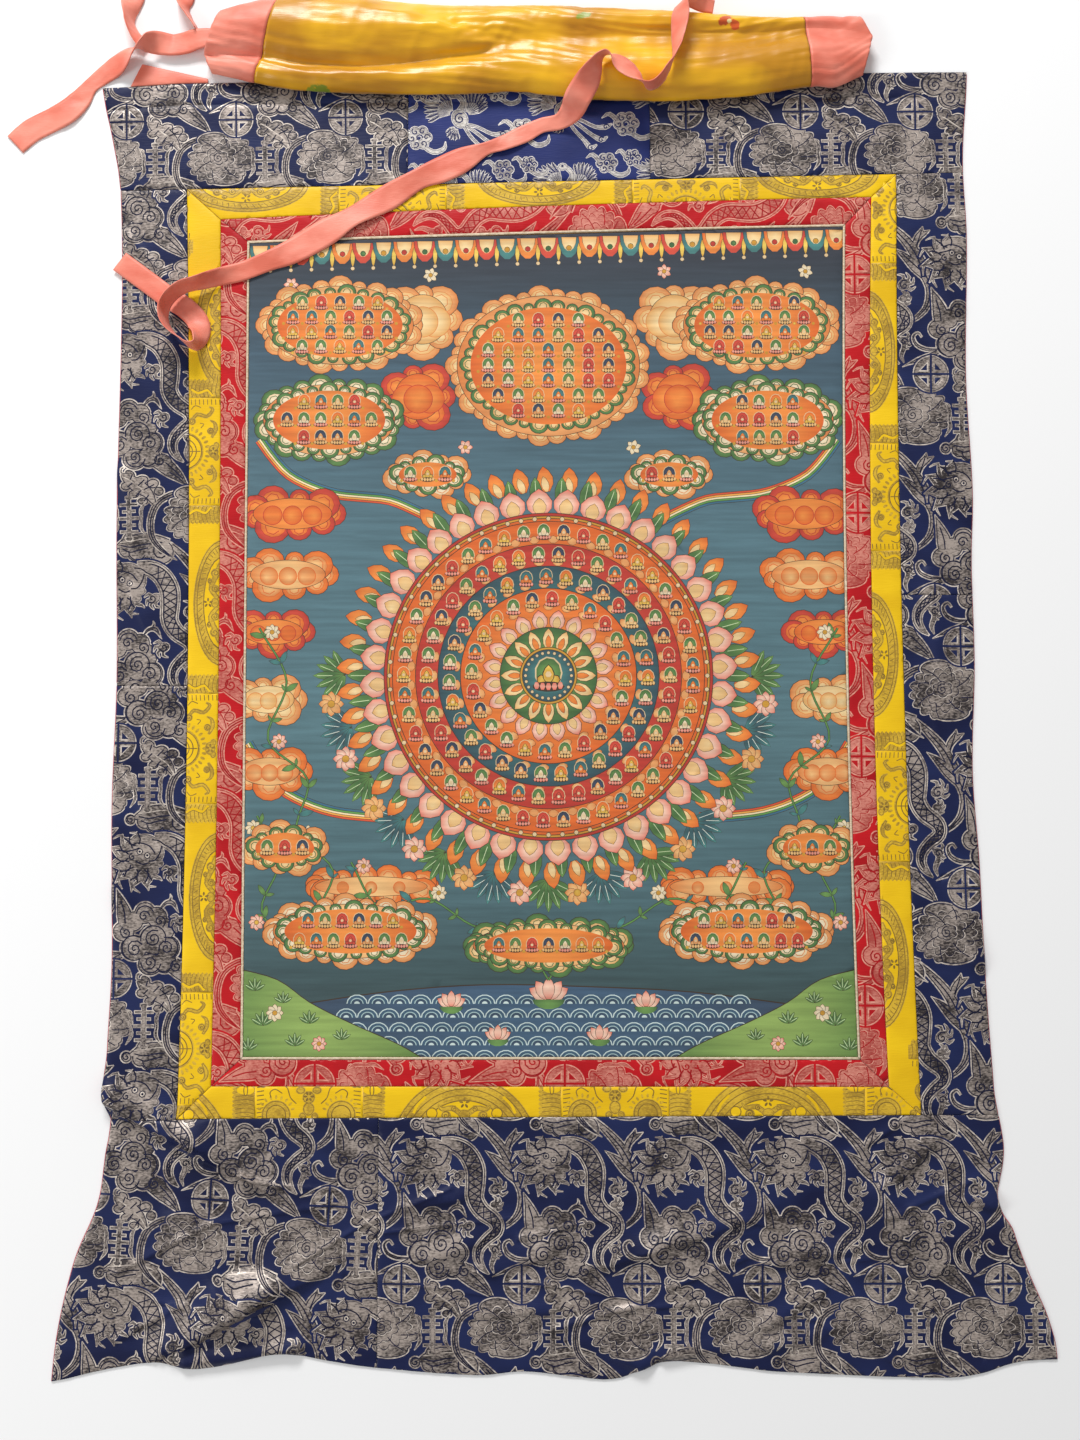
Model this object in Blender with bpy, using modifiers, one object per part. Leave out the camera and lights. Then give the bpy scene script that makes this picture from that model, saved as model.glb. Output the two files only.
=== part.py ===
"""Thangka scroll painting with its brocade mount, lying face up.

The painted picture is framed by red and yellow brocade strips and a blue
brocade mount. Its yellow silk cover is gathered in folds across the head, and
long silk ribbons fall over the top corner.

Lengths in the tables are millimetres, measured from the middle of the
picture: x to the right, y towards the head, z up from the surface.
"""
import math

import bmesh
import bpy
from mathutils import Vector

# ---- driving dimensions -------------------------------------------------
MM = 0.001
NAME = "thangka"
FOOTPRINT_MIDDLE = (-30.7, -11.4)

BROCADE = 1.6
CANVAS = 1.6
PIPING = 2.2
SILK = 1.2
RIBBON = 1.0
GAP = 0.3
PIPING_WIDTH = 2.5
MITRE_GAP = 0.5

WIDE_CELL = 60.0
STRIP_CELL = 45.0
FOLD_CELL = 16.0

# ---- the four rectangles of seams round the picture ---------------------
# corners: head left, head right, foot right, foot left; bow: how far the
# middle of the head, right, foot and left side stands outwards
SEAMS = {
    "yellow": (((-370.0, 472.2), (356.5, 488.3), (366.0, -461.4), (-365.0, -465.0)),
               (0.0, -6.0, 0.0, -6.0)),
    "red": (((-335.0, 440.5), (330.5, 464.0), (334.5, -434.0), (-332.0, -433.5)),
            (2.5, -7.5, 0.0, -3.0)),
    "picture": (((-305.0, 415.5), (301.0, 433.0), (304.5, -405.0), (-301.0, -405.0)),
                (1.5, -5.0, 0.0, 0.0)),
}

# ---- the outer edge of the mount ----------------------------------------
LEFT_EDGE = (  # y, x
    (-716.0, -482.5), (-656.0, -475.5), (-596.0, -461.0), (-547.0, -441.0),
    (-501.0, -434.5), (-462.0, -429.5), (-442.0, -437.5), (-407.0, -435.0),
    (-311.0, -431.5), (-158.0, -434.5), (-32.0, -432.0), (126.0, -435.0),
    (315.0, -434.0), (395.0, -434.5), (477.0, -438.0), (526.0, -447.0),
    (579.0, -458.0),
)
RIGHT_EDGE = (  # y, x
    (-695.0, 494.0), (-663.0, 488.0), (-610.0, 467.0), (-568.0, 452.0),
    (-547.0, 439.0), (-526.0, 441.0), (-495.0, 446.0), (-442.0, 438.0),
    (-332.0, 431.5), (-213.0, 427.5), (-122.0, 422.5), (-16.0, 426.5),
    (89.0, 425.5), (158.0, 428.0), (277.0, 423.5), (424.0, 427.0),
    (503.0, 424.5), (596.0, 430.5),
)
FOOT_EDGE = (  # x, y
    (-482.5, -716.0), (-435.0, -705.5), (-382.0, -698.0), (-350.0, -704.0),
    (-317.0, -700.5), (-264.0, -688.5), (-223.0, -695.0), (-176.0, -702.5),
    (-70.0, -710.0), (-23.0, -706.5), (36.0, -712.5), (67.0, -713.0),
    (107.0, -698.0), (142.0, -698.0), (218.0, -706.5), (377.0, -712.5),
    (418.0, -709.0), (453.0, -698.0), (494.0, -695.0),
)
HEAD_EDGE = ((-458.0, 579.0), (-380.0, 583.5), (-150.0, 588.0), (200.0, 593.5), (430.5, 596.0))

# where the mount is pieced: two seams in the head panel, one in the foot
# panel and one in each side strip
HEAD_PIECED_X = (-144.0, 104.4)
FOOT_PIECED_X = -167.0
LEFT_PIECED_Y = -38.3
RIGHT_PIECED_Y = 53.6

# ---- folds of the mount --------------------------------------------------
# each runs from (x0, y0) to (x1, y1), so high at its ends, and falls away
# over "left" and "right" of its line
FOLDS = (
    # x0, y0, height, x1, y1, height, left, right
    (-436.0, -446.0, 9.0, -352.0, -489.0, 7.0, 34.0, 15.0),
    (-352.0, -489.0, 7.0, -240.0, -549.0, 2.0, 30.0, 15.0),
    (-364.0, -556.0, 3.0, -306.0, -630.0, 6.0, 24.0, 28.0),
    (-354.0, -680.0, 9.0, -291.0, -645.0, 12.0, 46.0, 14.0),
    (-291.0, -645.0, 12.0, -222.0, -612.0, 4.0, 42.0, 14.0),
    (-352.0, -697.0, 5.0, -245.0, -684.0, 6.0, 16.0, 18.0),
    (-138.0, -549.0, 3.0, -86.0, -541.0, 3.5, 16.0, 12.0),
    (-112.0, -598.0, 4.0, -70.0, -583.0, 3.0, 22.0, 15.0),
    (-56.0, -611.0, 4.0, -2.0, -594.0, 5.0, 26.0, 15.0),
    (52.0, -606.0, 5.0, 104.0, -590.0, 5.0, 28.0, 15.0),
    (104.0, -590.0, 5.0, 210.0, -556.0, 2.5, 24.0, 15.0),
    (-80.0, -652.0, 3.0, 0.0, -648.0, 3.5, 16.0, 14.0),
    (36.0, -676.0, 2.0, 90.0, -700.0, 6.0, 20.0, 22.0),
    (112.0, -690.0, 5.0, 176.0, -684.0, 2.5, 18.0, 16.0),
    (212.0, -604.0, 5.0, 296.0, -590.0, 4.0, 22.0, 15.0),
    (212.0, -662.0, 3.5, 262.0, -634.0, 4.0, 18.0, 15.0),
    (214.0, -684.0, 3.0, 266.0, -671.0, 2.0, 15.0, 15.0),
    (322.0, -534.0, 5.0, 384.0, -602.0, 7.0, 15.0, 32.0),
    (334.0, -526.0, 4.0, 376.0, -488.0, 3.0, 18.0, 18.0),
    (390.0, -541.0, 2.0, 444.0, -549.0, 5.0, 16.0, 16.0),
    (292.0, -612.0, 2.0, 376.0, -614.0, 2.0, 15.0, 15.0),
    (380.0, 72.0, 2.0, 392.0, -20.0, 3.0, 16.0, 18.0),
    (360.0, 446.0, 1.5, 410.0, 346.0, 3.5, 18.0, 20.0),
    (386.0, -206.0, 2.0, 424.0, -312.0, 3.5, 20.0, 18.0),
    (-434.0, 176.0, 3.5, -390.0, 88.0, 1.0, 20.0, 20.0),
    (-436.0, -246.0, 3.0, -384.0, -332.0, 1.0, 20.0, 22.0),
)

# ---- the silk cover ------------------------------------------------------
# its near edge, the valley between its two rolls and its far edge, with the
# heights of the near roll, the valley and the far roll
COVER = (
    # x, y near;       x, y valley;     x, y far;      near, valley, far
    (-344.0, 590.0, -352.0, 609.0, -333.0, 659.0, 15.0, 13.0, 17.0),
    (-322.0, 586.0, -327.0, 609.0, -304.0, 668.0, 17.0, 14.0, 21.0),
    (-301.0, 581.0, -292.0, 607.0, -274.0, 672.0, 19.0, 14.0, 23.0),
    (-255.0, 573.0, -253.0, 600.0, -242.0, 674.0, 21.0, 13.5, 24.0),
    (-203.0, 570.0, -202.0, 598.0, -201.0, 673.0, 22.0, 13.0, 24.0),
    (-152.0, 568.0, -151.0, 600.0, -152.0, 668.0, 22.0, 13.0, 23.0),
    (-109.0, 568.0, -108.0, 606.0, -109.0, 664.0, 22.0, 13.5, 22.0),
    (-70.0, 569.0, -70.0, 612.0, -70.0, 664.0, 22.0, 14.0, 21.0),
    (-39.0, 570.0, -39.0, 620.0, -39.0, 664.0, 22.0, 14.0, 20.0),
    (-3.0, 567.0, -3.0, 624.0, -3.0, 664.0, 24.0, 15.0, 20.0),
    (43.0, 561.0, 43.0, 626.0, 43.0, 662.0, 26.0, 15.0, 21.0),
    (94.0, 559.5, 94.0, 627.0, 94.0, 659.0, 27.0, 15.0, 21.0),
    (145.0, 560.0, 145.0, 628.0, 145.0, 656.0, 27.0, 15.0, 21.0),
    (197.0, 564.0, 196.0, 629.0, 196.0, 652.0, 27.0, 15.0, 20.0),
    (238.0, 570.0, 231.0, 631.0, 229.0, 650.0, 26.0, 15.0, 19.0),
    (268.5, 575.0, 263.0, 634.0, 261.0, 650.0, 25.0, 15.0, 18.0),
    (293.0, 575.0, 297.0, 634.0, 289.0, 652.0, 22.0, 14.0, 16.0),
    (322.0, 588.0, 332.0, 628.0, 317.0, 654.0, 17.0, 13.0, 14.0),
)
COVER_SEAM_LEFT = 2
COVER_SEAM_RIGHT = 15
COVER_CELL = 24.0
LOBE = ((-155.0, 653.0), (-42.0, 615.0))
LOBE_HEIGHT = 6.0
LOBE_STEP = 9.0
OVER_MOUNT = 5.4
LAYER_PITCH = 3.2
TUCK = 0.30
SLOPE_START = 4.0
SLOPE_END = 26.0
INNER_MARGIN = 5.0

# ---- the ribbons ---------------------------------------------------------
# roll: degrees that the ribbon is turned about its own length
RIBBONS = {
    "ribbon_long": (
        # x, y, z, roll, width
        (170.0, 661.5, 8.0, 0.0, 14.0),
        (158.0, 663.5, 12.0, 20.0, 17.0),
        (146.0, 663.0, 22.0, 60.0, 18.0),
        (136.0, 656.0, 31.0, 110.0, 20.0),
        (133.5, 642.0, 32.5, 140.0, 21.0),
        (132.0, 625.0, 32.0, 130.0, 21.0),
        (130.0, 606.0, 37.0, 112.0, 20.0),
        (126.0, 592.0, 40.0, 95.0, 18.0),
        (117.5, 577.0, 39.0, 82.0, 20.0),
        (110.5, 568.5, 37.5, 84.0, 21.0),
        (102.0, 564.5, 37.5, 92.0, 22.0),
        (93.5, 568.5, 38.0, 112.0, 23.0),
        (85.0, 576.5, 37.5, 138.0, 25.0),
        (74.5, 586.5, 37.0, 146.0, 25.0),
        (65.5, 594.0, 38.5, 126.0, 22.0),
        (57.5, 596.5, 40.0, 100.0, 20.0),
        (51.0, 592.0, 39.5, 76.0, 20.0),
        (46.0, 583.5, 37.0, 48.0, 22.0),
        (38.5, 571.0, 31.0, 18.0, 26.0),
        (30.0, 558.0, 26.0, 8.0, 27.0),
        (23.0, 548.0, 15.0, 8.0, 24.0),
        (11.0, 541.0, 6.5, 14.0, 16.0),
        (-7.0, 538.0, 4.2, 4.0, 15.0),
        (-25.0, 529.0, 3.6, 0.0, 18.0),
        (-45.0, 520.0, 4.4, -6.0, 16.0),
        (-64.0, 513.0, 5.2, 14.0, 13.0),
        (-88.0, 502.0, 3.4, 0.0, 26.0),
        (-109.0, 492.0, 3.4, 0.0, 27.0),
        (-133.0, 481.0, 5.2, 10.0, 21.0),
        (-165.0, 462.0, 3.0, 0.0, 27.0),
        (-200.0, 442.0, 5.0, -10.0, 22.0),
        (-225.0, 427.0, 3.7, 0.0, 28.0),
        (-259.0, 407.0, 3.7, 0.0, 26.0),
        (-284.0, 396.0, 5.0, 10.0, 20.0),
        (-312.0, 385.0, 4.2, 6.0, 19.0),
        (-336.0, 377.5, 8.5, 38.0, 18.0),
        (-354.0, 370.0, 14.5, 66.0, 20.0),
        (-369.0, 365.0, 16.0, 74.0, 22.0),
        (-381.0, 356.0, 16.5, 74.0, 22.0),
        (-388.0, 343.5, 16.5, 74.0, 22.0),
        (-387.0, 330.0, 16.5, 76.0, 22.0),
        (-380.0, 319.0, 16.5, 80.0, 22.0),
        (-370.0, 311.0, 16.0, 86.0, 22.0),
        (-362.5, 305.5, 15.0, 92.0, 22.0),
        (-356.0, 305.5, 14.5, 98.0, 22.0),
        (-353.0, 313.0, 12.5, 118.0, 22.0),
        (-353.5, 325.0, 7.2, 156.0, 22.0),
        (-358.0, 336.0, 3.6, 176.0, 22.0),
        (-370.0, 348.0, 3.0, 180.0, 22.0),
        (-386.0, 358.0, 2.8, 180.0, 22.0),
        (-406.0, 373.0, 2.8, 180.0, 22.0),
        (-437.0, 396.0, 2.8, 180.0, 22.0),
    ),
    "ribbon_left": (
        (-336.0, 629.0, 8.8, 0.0, 18.0),
        (-349.0, 629.0, 8.8, 0.0, 19.0),
        (-361.0, 627.5, 8.2, 4.0, 21.0),
        (-373.0, 624.5, 6.0, 0.0, 23.0),
        (-386.0, 623.0, 5.0, -4.0, 23.0),
        (-400.0, 624.0, 7.0, 14.0, 23.0),
        (-409.5, 621.5, 13.0, 55.0, 21.0),
        (-417.0, 616.5, 15.5, 96.0, 20.0),
        (-428.0, 610.5, 12.0, 140.0, 23.0),
        (-443.5, 601.5, 4.0, 172.0, 22.0),
        (-458.5, 591.5, 1.2, 180.0, 18.0),
        (-471.0, 581.0, 0.9, 180.0, 15.5),
        (-482.0, 566.0, 1.0, 180.0, 22.5),
        (-495.0, 553.0, 2.2, 180.0, 25.0),
        (-512.0, 544.0, 0.9, 180.0, 25.0),
        (-531.5, 533.5, 0.6, 180.0, 25.0),
        (-547.0, 519.5, 0.6, 180.0, 24.0),
    ),
    "ribbon_rise": (
        (-425.0, 691.0, 0.6, 0.0, 22.0),
        (-428.0, 675.0, 0.6, 10.0, 22.0),
        (-429.5, 663.0, 0.6, 42.0, 21.0),
        (-430.5, 652.0, 0.6, 64.0, 18.0),
        (-428.5, 641.5, 0.6, 64.0, 17.0),
        (-423.0, 631.5, 0.6, 44.0, 14.0),
        (-414.0, 622.5, 3.6, 8.0, 12.0),
    ),
    "ribbon_small": (
        (-373.0, 692.0, 0.6, 0.0, 20.0),
        (-374.5, 674.0, 0.6, 10.0, 18.0),
        (-374.5, 663.0, 0.6, 58.0, 16.0),
        (-370.5, 654.0, 0.6, 72.0, 15.0),
        (-365.0, 645.5, 0.6, 76.0, 14.0),
        (-361.5, 638.7, 0.6, 78.0, 13.0),
    ),
}
TUCKED_RIBBON = ((-429.5, -350.0), (-418.0, 604.5), (-350.0, 588.5))
RIBBON_CELL = 9.0

COLOURS = {  # name: (red, green, blue), roughness, metallic
    "picture": ((0.16, 0.20, 0.19), 0.75, 0.0),
    "piping": ((0.62, 0.50, 0.26), 0.45, 0.3),
    "red": ((0.58, 0.03, 0.03), 0.5, 0.0),
    "yellow": ((0.88, 0.60, 0.03), 0.5, 0.0),
    "blue": ((0.03, 0.04, 0.14), 0.5, 0.0),
    "cover": ((0.85, 0.50, 0.02), 0.35, 0.0),
    "ribbon": ((0.80, 0.22, 0.14), 0.55, 0.0),
}


# ---- tools ---------------------------------------------------------------
def clear_scene():
    for thing in list(bpy.data.objects):
        bpy.data.objects.remove(thing, do_unlink=True)


def make_material(name):
    colour, roughness, metallic = COLOURS[name]
    material = bpy.data.materials.new(name)
    material.use_nodes = True
    shader = material.node_tree.nodes["Principled BSDF"]
    shader.inputs["Base Color"].default_value = (*colour, 1.0)
    shader.inputs["Roughness"].default_value = roughness
    shader.inputs["Metallic"].default_value = metallic
    return material


def spline(rows, t):
    """The point at t along a smooth curve through the rows, one row for each unit of t."""
    last = len(rows) - 1
    k = min(max(int(t), 0), last - 1)
    t -= k
    a, b, c, d = (rows[min(max(k + step, 0), last)] for step in (-1, 0, 1, 2))
    return [
        0.5 * (2 * q + (r - p) * t + (2 * p - 5 * q + 4 * r - s) * t**2
               + (3 * q - p - 3 * r + s) * t**3)
        for p, q, r, s in zip(a, b, c, d)
    ]


def edge_at(rows, place):
    """The second column of an edge table where its first column is this place."""
    k = 0
    while k < len(rows) - 2 and rows[k + 1][0] < place:
        k += 1
    share = (place - rows[k][0]) / (rows[k + 1][0] - rows[k][0])
    ease = [r[1] for r in rows]
    before = ease[max(k - 1, 0)]
    after = ease[min(k + 2, len(rows) - 1)]
    return spline([(before,), (ease[k],), (ease[k + 1],), (after,)], 1 + share)[0]


def mix(a, b, t):
    return tuple(p + (q - p) * t for p, q in zip(a, b))


def line(a, b):
    return lambda t: mix(a, b, t)


def seam_side(name, side):
    """One side of a seam rectangle as a function of t, bowed in its middle."""
    corners, bows = SEAMS[name]
    a, b = corners[side], corners[(side + 1) % 4]
    length = math.dist(a, b)
    out = ((a[1] - b[1]) / length, (b[0] - a[0]) / length)

    def at(t):
        bow = 4 * t * (1 - t) * bows[side]
        x, y = mix(a, b, t)
        return x + out[0] * bow, y + out[1] * bow

    return at


def run(curve, start, end):
    """The stretch of a curve between two of its places, as a function from 0 to 1."""
    return lambda t: curve(start + (end - start) * t)


def widened(name, by):
    """The corners and bows of a seam rectangle that stands outside another."""
    corners, bows = SEAMS[name]
    signs = ((-1, 1), (1, 1), (1, -1), (-1, -1))
    return tuple((x + sx * by, y + sy * by) for (x, y), (sx, sy) in zip(corners, signs)), bows


def fold_height(x, y):
    """How far the cloth of the mount is lifted off the surface here."""
    height = 0.0
    for x0, y0, h0, x1, y1, h1, left, right in FOLDS:
        length = math.hypot(x1 - x0, y1 - y0)
        ux, uy = (x1 - x0) / length, (y1 - y0) / length
        along = (x - x0) * ux + (y - y0) * uy
        across = (y - y0) * ux - (x - x0) * uy
        reach = left if across > 0 else right
        beyond = max(-along, along - length, 0.0)
        away = math.hypot(across, beyond) / reach
        if away < 1:
            share = min(max(along / length, 0.0), 1.0)
            height += (h0 + (h1 - h0) * share) * 0.5 * (1 + math.cos(math.pi * away))
    return height


def finish(name, bm, material, collection):
    bmesh.ops.recalc_face_normals(bm, faces=bm.faces)
    mesh = bpy.data.meshes.new(name)
    bm.to_mesh(mesh)
    bm.free()
    thing = bpy.data.objects.new(name, mesh)
    thing.data.materials.append(material)
    collection.objects.link(thing)
    return thing


def to_space(x, y, z):
    return Vector(((x - FOOTPRINT_MIDDLE[0]) * MM, (y - FOOTPRINT_MIDDLE[1]) * MM, z * MM))


def grid(columns, rows):
    """A flat grid whose points are given from (0, 0) to (1, 1)."""
    bm = bmesh.new()
    bmesh.ops.create_grid(bm, x_segments=columns, y_segments=rows, size=0.5)
    return bm


def sheet(name, sides, cell, thickness, material, collection, end_gap=GAP):
    """A thin cloth between four edge curves: foot, head, left and right."""
    foot, head, left, right = sides
    wide = math.dist(left(0.5), right(0.5))
    tall = math.dist(foot(0.5), head(0.5))
    bm = grid(max(1, round(wide / cell)), max(1, round(tall / cell)))
    u_gap, v_gap = 0.5 * end_gap / wide, 0.5 * GAP / tall
    for vertex in bm.verts:
        u = u_gap + (vertex.co.x + 0.5) * (1 - 2 * u_gap)
        v = v_gap + (vertex.co.y + 0.5) * (1 - 2 * v_gap)
        across = mix(foot(u), head(u), v)
        upward = mix(left(v), right(v), u)
        corner = mix(mix(foot(0), foot(1), u), mix(head(0), head(1), u), v)
        x, y = (a + b - c for a, b, c in zip(across, upward, corner))
        vertex.co = to_space(x, y, fold_height(x, y))
    lifted = bmesh.ops.extrude_face_region(bm, geom=bm.faces[:])["geom"]
    tops = [item for item in lifted if isinstance(item, bmesh.types.BMVert)]
    bmesh.ops.translate(bm, verts=tops, vec=(0, 0, thickness * MM))
    return finish(name, bm, material, collection)


# ---- the flat mount ------------------------------------------------------
def frame_strips(outer, inner, kind, cell, thickness, material, collection):
    """Four mitred strips between two seam rectangles."""
    for side, place in enumerate(("head", "right", "foot", "left")):
        a, b = SEAMS[outer][0], SEAMS[inner][0]
        after = (side + 1) % 4
        sides = (
            seam_side(inner, side), seam_side(outer, side),
            line(b[side], a[side]), line(b[after], a[after]),
        )
        sheet(f"{kind}_{place}", sides, cell, thickness, material, collection, MITRE_GAP)


def build_picture(materials, collection):
    corners = SEAMS["picture"][0]
    sides = (
        lambda t: seam_side("picture", 2)(1 - t), seam_side("picture", 0),
        lambda t: seam_side("picture", 3)(t), lambda t: seam_side("picture", 1)(1 - t),
    )
    assert math.dist(sides[0](0), corners[3]) < GAP
    sheet("painting", sides, WIDE_CELL, CANVAS, materials["picture"], collection)


def build_blue(materials, collection):
    (head_left, head_right, foot_right, foot_left), _ = SEAMS["yellow"]

    def head_seam(x):
        slope = (head_right[1] - head_left[1]) / (head_right[0] - head_left[0])
        return x, head_left[1] + slope * (x - head_left[0])

    def foot_seam(x):
        slope = (foot_right[1] - foot_left[1]) / (foot_right[0] - foot_left[0])
        return x, foot_left[1] + slope * (x - foot_left[0])

    def on_edge(table, y):
        return edge_at(table, y), y

    blue = materials["blue"]
    head_y = [head_seam(edge_at(table, head_left[1]))[1] for table in (LEFT_EDGE, RIGHT_EDGE)]
    foot_y = [foot_seam(edge_at(table, foot_left[1]))[1] for table in (LEFT_EDGE, RIGHT_EDGE)]

    # head panel: three pieces side by side
    stops = [None, *HEAD_PIECED_X, None]
    for k, place in enumerate(("left", "middle", "right")):
        x0, x1 = stops[k], stops[k + 1]
        foot_x0 = edge_at(LEFT_EDGE, head_y[0]) if x0 is None else x0
        head_x0 = HEAD_EDGE[0][0] if x0 is None else x0
        foot_x1 = edge_at(RIGHT_EDGE, head_y[1]) if x1 is None else x1
        head_x1 = HEAD_EDGE[-1][0] if x1 is None else x1
        top = run(lambda x: (x, edge_at(HEAD_EDGE, x)), head_x0, head_x1)
        bottom = run(head_seam, foot_x0, foot_x1)
        left = line(bottom(0), top(0))
        right = line(bottom(1), top(1))
        if x0 is None:
            left = run(lambda y: on_edge(LEFT_EDGE, y), head_y[0], top(0)[1])
        if x1 is None:
            right = run(lambda y: on_edge(RIGHT_EDGE, y), head_y[1], top(1)[1])
        sides = (bottom, top, left, right)
        sheet(f"blue_head_{place}", sides, FOLD_CELL * 1.5, BROCADE, blue, collection)

    # side strips: two pieces above each other on each side
    for place, table, split, side, inner_head, inner_foot in (
        ("left", LEFT_EDGE, LEFT_PIECED_Y, 3, head_left, foot_left),
        ("right", RIGHT_EDGE, RIGHT_PIECED_Y, 1, head_right, foot_right),
    ):
        seam = seam_side("yellow", side)
        upward = seam if place == "left" else (lambda t, seam=seam: seam(1 - t))
        where = (split - inner_foot[1]) / (inner_head[1] - inner_foot[1])
        index = 0 if place == "left" else 1
        for level, v0, v1, y0, y1 in (
            ("lower", 0.0, where, foot_y[index], split),
            ("upper", where, 1.0, split, head_y[index]),
        ):
            inner = run(upward, v0, v1)
            outer = run(lambda y, table=table: on_edge(table, y), y0, y1)
            left, right = (outer, inner) if place == "left" else (inner, outer)
            sides = (line(left(0), right(0)), line(left(1), right(1)), left, right)
            sheet(f"blue_{place}_{level}", sides, FOLD_CELL * 1.25, BROCADE, blue, collection)

    # foot panel: two pieces
    corners = (FOOT_EDGE[0], FOOT_EDGE[-1])
    for place, x0, x1 in (("left", None, FOOT_PIECED_X), ("right", FOOT_PIECED_X, None)):
        low_x0 = corners[0][0] if x0 is None else x0
        low_x1 = corners[1][0] if x1 is None else x1
        top_x0 = edge_at(LEFT_EDGE, foot_y[0]) if x0 is None else x0
        top_x1 = edge_at(RIGHT_EDGE, foot_y[1]) if x1 is None else x1
        bottom = run(lambda x: (x, edge_at(FOOT_EDGE, x)), low_x0, low_x1)
        top = run(foot_seam, top_x0, top_x1)
        left = line(bottom(0), top(0))
        right = line(bottom(1), top(1))
        if x0 is None:
            left = run(lambda y: on_edge(LEFT_EDGE, y), bottom(0)[1], foot_y[0])
        if x1 is None:
            right = run(lambda y: on_edge(RIGHT_EDGE, y), bottom(1)[1], foot_y[1])
        sides = (bottom, top, left, right)
        sheet(f"blue_foot_{place}", sides, FOLD_CELL, BROCADE, blue, collection)


# ---- the gathered silk cover ---------------------------------------------
def lobe_height(x, y):
    """The left half of the cover lies on top of the right, up to a slanting edge."""
    (x0, y0), (x1, y1) = LOBE
    length = math.hypot(x1 - x0, y1 - y0)
    across = ((y - y0) * (x1 - x0) - (x - x0) * (y1 - y0)) / length
    share = min(max(0.5 - across / LOBE_STEP, 0.0), 1.0)
    fade = min(max((x1 + LOBE_STEP - x) / (3 * LOBE_STEP), 0.0), 1.0)
    return LOBE_HEIGHT * share * share * (3 - 2 * share) * fade


def cover_base(x, y):
    """Middle of the lowest layer: over the head edge of the mount, then down to the surface."""
    past = y - edge_at(HEAD_EDGE, x)
    share = min(max((past - SLOPE_START) / (SLOPE_END - SLOPE_START), 0.0), 1.0)
    share = share * share * (3 - 2 * share)
    return OVER_MOUNT + (0.5 * SILK - OVER_MOUNT) * share


def cover_section(row):
    """Points across the folded cover at one station, from the tucked near edge inwards."""
    near, valley, far = row[0:2], row[2:4], row[4:6]
    near_top, valley_top, far_top = row[6:9]

    def plan(w):
        return mix(near, valley, 2 * w) if w < 0.5 else mix(valley, far, 2 * w - 1)

    def point(w, height):
        x, y = plan(w)
        return x, y, height

    def base(w):
        return cover_base(*plan(w))

    def lobe(w):
        return lobe_height(*plan(w))

    points = [point(w, base(w)) for w in (TUCK, 0.16, 0.05)]
    for angle in (20, 45, 68, 90):
        w = 0.25 * (1 - math.cos(math.radians(angle)))
        rise = math.sin(math.radians(angle))
        points.append(point(w, base(w) + (near_top - base(w)) * rise))
    for step in (1, 2, 3, 4):
        w = 0.25 + 0.0625 * step
        ease = 0.5 * (1 + math.cos(math.pi * step / 4))
        points.append(point(w, valley_top + (near_top - valley_top) * ease))
    for step in (1, 2, 3, 4):
        w = 0.5 + 0.0625 * step
        ease = 0.5 * (1 - math.cos(math.pi * step / 4))
        points.append(point(w, valley_top + (far_top - valley_top) * ease + lobe(w)))
    for angle in (22, 45, 70):
        w = 0.75 + 0.25 * math.sin(math.radians(angle))
        rise = math.cos(math.radians(angle))
        points.append(point(w, base(w) + (far_top + lobe(w) - base(w)) * rise))
    points.append(point(1.0, base(1.0) + 1.5))

    inner_far = max(1 - INNER_MARGIN / (2 * math.dist(valley, far)), 0.62)
    inner_near = INNER_MARGIN / (2 * math.dist(near, valley)) + 0.03
    points += [point(mix((0.975,), (0.42,), t)[0], base(mix((0.975,), (0.42,), t)[0]))
               for t in (0.0, 0.35, 0.7, 1.0)]
    points.append(point(0.395, base(0.395) + 0.5 * LAYER_PITCH))
    for t in (0.0, 0.35, 0.7, 1.0):
        w = 0.42 + (inner_far - 0.05 - 0.42) * t
        points.append(point(w, base(w) + LAYER_PITCH))
    points.append(point(inner_far, base(inner_far) + 1.5 * LAYER_PITCH))
    for t in (0.0, 0.3, 0.6, 1.0):
        w = inner_far - 0.05 + (inner_near - inner_far + 0.05) * t
        points.append(point(w, base(w) + 2 * LAYER_PITCH))
    return points


def cover_piece(name, first, last, material, collection):
    """The folded cover between two of its table rows, as one folded sheet."""
    length = sum(
        math.dist(COVER[k][2:4], COVER[k + 1][2:4]) for k in range(first, last))
    stations = max(2, round(length / COVER_CELL))
    margin = GAP / length * (last - first)
    sections = []
    for k in range(stations + 1):
        t = first + margin + (last - first - 2 * margin) * k / stations
        sections.append(cover_section(spline(COVER, t)))
    across = len(sections[0]) - 1
    bm = grid(stations, across)
    for vertex in bm.verts:
        station = round((vertex.co.x + 0.5) * stations)
        place = round((vertex.co.y + 0.5) * across)
        vertex.co = to_space(*sections[station][place])
    thing = finish(name, bm, material, collection)
    thicken(thing, SILK)
    return thing


def thicken(thing, thickness):
    solidify = thing.modifiers.new("thickness", "SOLIDIFY")
    solidify.thickness = thickness * MM
    solidify.offset = 0.0


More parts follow.
